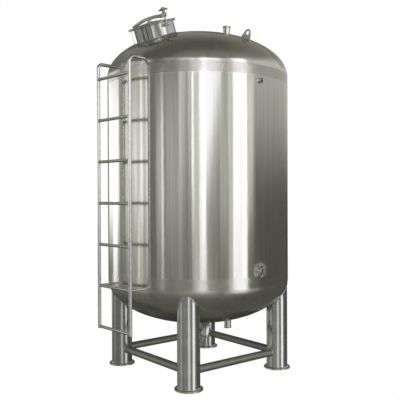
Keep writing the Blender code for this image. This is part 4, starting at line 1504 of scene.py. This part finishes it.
def build_ports():
    thread = []
    for turn in range(8):
        deep = -PORT_SUNK + 0.002 + turn * THREAD_PITCH
        thread += [(PORT_BORE_R, deep), (PORT_BORE_R + THREAD_DEPTH, deep + THREAD_PITCH / 2)]
    outline = [(PORT_R, PORT_LENGTH), (PORT_R, -PORT_SUNK), (PORT_BORE_R, -PORT_SUNK),
               *thread, (PORT_BORE_R, PORT_LENGTH)]
    radii = (0.0025, 0, 0) + (0,) * len(thread) + (0.0015,)
    for name, z in (("upper_port", UPPER_PORT_Z), ("lower_port", LOWER_PORT_Z)):
        keep(at(spun(rounded(outline, radii), steps=72), port_seat(z)), name + "_socket",
             SOCKET_STEEL, name, limit=40)
    ring = circle(0, 0, PORT_R, 48)
    upper = bead(on_wall(ring, 0), PORT_WELD_R)
    lower = bead([(x, y, PAD_T) for x, y in ring], PORT_WELD_R)
    edge = rounded_rectangle(PAD_HALF_W, PAD_HALF_H, PAD_CORNER)
    rough_edge, swell = ragged(edge)
    border = bead(on_wall(rough_edge, 0.001), PAD_WELD_R, swell=swell)
    low_seat = port_seat(LOWER_PORT_Z)
    weld(at(upper, port_seat(UPPER_PORT_Z)), "upper_port_weld", SOCKET_STEEL)
    weld(at(joined(lower, border), low_seat), "lower_port_weld", PAD_STEEL)
    pad = plate([edge, circle(0, 0, PORT_BORE_R + 0.001)], PAD_T + PORT_SUNK, 0.0018)
    at(pad, low_seat @ moved(0, 0, (PAD_T - PORT_SUNK) / 2))
    keep(pad, "port_pad", PAD_STEEL, "lower_port_pad")


build_ports()
print("ports at", LOWER_PORT_Z, UPPER_PORT_Z)

# %% [markdown]
# Two lifting lugs stand square on the top head: plates with a wide foot, a round top and an
# eye. Their edges are ground round, and a fillet runs round the foot.

# %% Lifting lugs
LUG_REACH, LUG_HALF_BASE, LUG_TOP_R, LUG_EYE_R = 0.600, 0.0565, 0.032, 0.018
LUG_EYE_Z, LUG_T = 0.050, 0.010
LUG_TURN = math.radians(3.0)
LUG_WELD_R, LUG_CLEAR = 0.0035, 0.1


def lug_outline():
    """A wide foot running up in two straight edges to a round top."""
    apart = Vector((LUG_HALF_BASE, -LUG_EYE_Z))
    tangent = math.degrees(math.atan2(apart.y, apart.x) + math.acos(LUG_TOP_R / apart.length))
    root = -0.006
    top = arc(0, LUG_EYE_Z, LUG_TOP_R, tangent, 180 - tangent, 28)
    return ([(LUG_HALF_BASE, root), (LUG_HALF_BASE, 0)] + top
            + [(-LUG_HALF_BASE, 0), (-LUG_HALF_BASE, root)])


def build_lugs():
    height = UPPER_TANGENT + head_height(LUG_REACH)
    upright = turned(90, "X")
    for side, bearing in (("front", LUG_TURN - math.pi / 2), ("rear", LUG_TURN + math.pi / 2)):
        spot = seat(bearing, LUG_REACH, height, head_slope(LUG_REACH))
        lug = plate([lug_outline(), circle(0, LUG_EYE_Z, LUG_EYE_R)], LUG_T, 0.0018)
        keep(at(lug, spot @ upright), "plate_lug_" + side, EYE_STEEL, "lifting_lug_" + side)
        x, y = LUG_HALF_BASE, LUG_T / 2
        corners = ((x, y), (-x, y), (-x, -y), (x, -y), (x, y))
        foot = []
        for (x0, y0), (x1, y1) in zip(corners, corners[1:]):
            count = 24 if y0 == y1 else 4
            foot += [(x0 + (x1 - x0) * i / count, y0 + (y1 - y0) * i / count)
                     for i in range(count)]
        path = foot_ring(spot @ moved(0, 0, LUG_CLEAR), foot, UPPER_TANGENT)
        weld(bead(path, LUG_WELD_R), "lug_weld_" + side, EYE_STEEL)


build_lugs()
print("lug eyes", 2 * LUG_EYE_R, "m across")

# %% [markdown]
# Last, every imported solid that is still shown would be a plain one, so the list of them is
# printed.

# %% The end
shown = [name for name, node in NODES.items() if not node.hide_render]
print("plain solids still shown:", shown)
